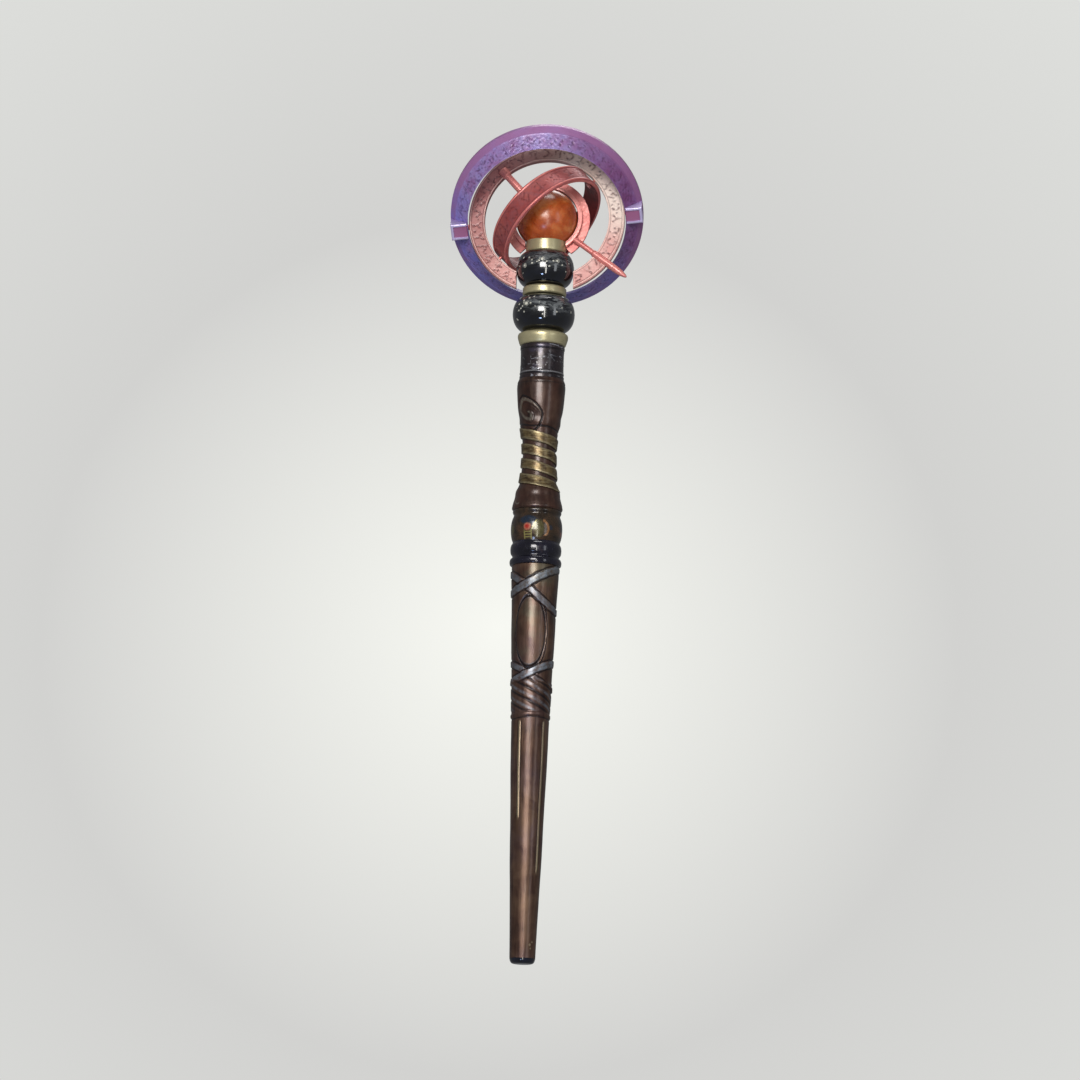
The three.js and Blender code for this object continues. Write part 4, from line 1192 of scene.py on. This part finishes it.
def block(name, s, node):
    n = 44
    g = np.linspace(-4.2, 4.2, n)
    Xg, Yg = np.meshgrid(g, g, indexing="ij")
    ex = np.minimum(4.2 - np.abs(Xg), 4.2 - np.abs(Yg))
    top = 6.0 - 0.35 * (1 - sstep(0.0, 0.45, ex))
    inner = sstep(1.25, 1.6, ex)
    slot_ = (Xg < 0) * sstep(-0.15, 0.2, 2.9 - np.abs(Yg))
    rec = np.maximum(inner, slot_)
    top = top - 0.75 * rec + 0.04 * wobble(Xg, Yg, 77, 2)
    rel = 0.5 + 0.42 * (1 - rec) - 0.46 * rec
    X = (44.9 + Xg) * s
    Y = Yg * s
    Rb = np.hypot(44.9 + Xg, Yg)
    bot = cone_h(Rb) + 0.02
    Vt = np.stack([X, Y, top], -1).reshape(-1, 3)
    Vb = np.stack([X, Y, bot], -1).reshape(-1, 3)
    V = np.vstack([Vt, Vb]) @ HOR[:3, :3].T + HOR[:3, 3]
    idx = np.arange(n * n).reshape(n, n)
    F = []
    for i in range(n - 1):
        for j in range(n - 1):
            F.append([idx[i, j], idx[i + 1, j], idx[i + 1, j + 1], idx[i, j + 1]])
            F.append([n * n + idx[i, j], n * n + idx[i, j + 1], n * n + idx[i + 1, j + 1], n * n + idx[i + 1, j]])
    border = [idx[i, 0] for i in range(n)] + [idx[n - 1, j] for j in range(1, n)] + [idx[i, n - 1] for i in range(n - 2, -1, -1)] + [idx[0, j] for j in range(n - 2, 0, -1)]
    for a, b in zip(border, border[1:] + border[:1]):
        F.append([a, n * n + a, n * n + b, b])
    relv = np.concatenate([rel.reshape(-1), np.full(n * n, 0.5)])
    make_mesh(name, V, F, "horizon", node, M_BLOCK, relv, 40)


ring_attr(hoop, "bevel", HOR, lambda R_, h, a: sstep(46.6, 47.2, R_))
ring_attr(hoop, "low_left", HOR, lambda R_, h, a: sstep(-0.1, 0.5, -np.sin(a) * 0.9 - np.cos(a) * 0.5))
ring_attr(hoop, "right_side", HOR, lambda R_, h, a: sstep(0.1, 0.8, np.cos(a)) * sstep(-0.9, -0.3, np.sin(a)))
block("lug_block_right", 1, "right_bearing_block")
block("lug_block_left", -1, "left_bearing_block")

# ---------------------------------------------------------------- stage and light
def plane(name, w, h, M, material):
    me = bpy.data.meshes.new(name)
    me.from_pydata([(-w, -h, 0), (w, -h, 0), (w, h, 0), (-w, h, 0)], [], [(0, 1, 2, 3)])
    me.transform(M)
    ob = bpy.data.objects.new(name, me)
    bpy.context.collection.objects.link(ob)
    me.materials.append(material)
    return ob


fm_ = Mat("floor_pale", 0.0, 0.8)
fm_.color(fm_.ramp(fm_.noise(2, 3), [(0.3, BW(0.72)), (0.7, BW(0.76))]))
fm_.b.inputs["Emission Color"].default_value = (0.72, 0.72, 0.70, 1)
fm_.b.inputs["Emission Strength"].default_value = 0.80
fl_ = plane("floor", 12, 12, Matrix.Translation((0, 0, -0.75)), fm_.m)
fl_.visible_diffuse = False
fl_.visible_glossy = False

bk = bpy.data.materials.new("backdrop_pale")
bk.use_nodes = True
bt = bk.node_tree
bt.nodes.clear()
bo = bt.nodes.new("ShaderNodeOutputMaterial")
be = bt.nodes.new("ShaderNodeEmission")
bc = bt.nodes.new("ShaderNodeTexCoord")
bv = bt.nodes.new("ShaderNodeVectorMath")
bv.operation = "LENGTH"
br = bt.nodes.new("ShaderNodeValToRGB")
bt.links.new(bc.outputs["Object"], bv.inputs[0])
bt.links.new(bv.outputs["Value"], br.inputs[0])
# painted pool of light: the glowing backdrop is brightest at its centre and darker towards its edges
for (pos, col) in zip((0.0, 0.30, 0.62, 1.0), (lin(248, 249, 243), lin(240, 241, 236), lin(222, 223, 220), lin(210, 210, 208))):
    el = br.color_ramp.elements.new(pos) if pos not in (0.0, 1.0) else br.color_ramp.elements[0 if pos == 0.0 else 1]
    el.color = col
bt.links.new(br.outputs["Color"], be.inputs["Color"])
bt.links.new(be.outputs[0], bo.inputs["Surface"])
back_m = Matrix.Translation((-0.06, 5.2, 1.02)) @ Matrix.Rotation(math.radians(90 - 10.5), 4, "X")
bd = plane("backdrop", 1, 1, Matrix.Identity(4), bk)
bd.matrix_world = back_m @ Matrix.Diagonal((2.6, 2.6, 1, 1))
bd.visible_diffuse = False
bd.visible_glossy = False

w = bpy.data.worlds.new("studio")
bpy.context.scene.world = w
w.use_nodes = True
nt = w.node_tree
bg = nt.nodes["Background"]
bg.inputs["Color"].default_value = (0.80, 0.82, 0.85, 1)
bg.inputs["Strength"].default_value = 0.20
bg2 = nt.nodes.new("ShaderNodeBackground")
bg2.inputs["Color"].default_value = (0.80, 0.80, 0.78, 1)
bg2.inputs["Strength"].default_value = 1.0
lp = nt.nodes.new("ShaderNodeLightPath")
mx = nt.nodes.new("ShaderNodeMixShader")
nt.links.new(lp.outputs["Is Camera Ray"], mx.inputs[0])
nt.links.new(bg.outputs[0], mx.inputs[1])
nt.links.new(bg2.outputs[0], mx.inputs[2])
nt.links.new(mx.outputs[0], nt.nodes["World Output"].inputs["Surface"])


def area(name, loc, target, size, power, color=(1, 1, 1), sy=None):
    ld = bpy.data.lights.new(name, "AREA")
    ld.shape = "RECTANGLE"
    ld.size = size
    ld.size_y = sy or size
    ld.energy = power
    ld.color = color
    ob = bpy.data.objects.new(name, ld)
    bpy.context.collection.objects.link(ob)
    ob.location = loc
    ob.rotation_euler = (Vector(target) - Vector(loc)).to_track_quat("-Z", "Y").to_euler()
    return ob


area("key", (-0.35, -1.95, 0.66), (0, 0, 0.28), 0.75, 25, (1.0, 0.98, 0.95), 0.7)
area("strip", (0.10, -1.9, -0.05), (0, 0, 0.22), 0.09, 6.5, (1.0, 0.97, 0.90), 1.5)
area("fill", (1.3, -1.5, 0.35), (0, 0, 0.28), 0.35, 3.0, (0.92, 0.96, 1.0), 1.1)
area("low", (-0.30, -1.2, -0.62), (0, 0, 0.3), 0.18, 2.2, (0.45, 0.62, 1.0))
area("top", (0.1, -0.2, 1.9), (0, 0, 0.3), 0.6, 6)
area("back", (0.2, 1.3, 2.0), (0, 0, 0.3), 0.9, 10)

bpy.context.scene.view_settings.view_transform = "Standard"
bpy.context.scene.view_settings.look = "None"
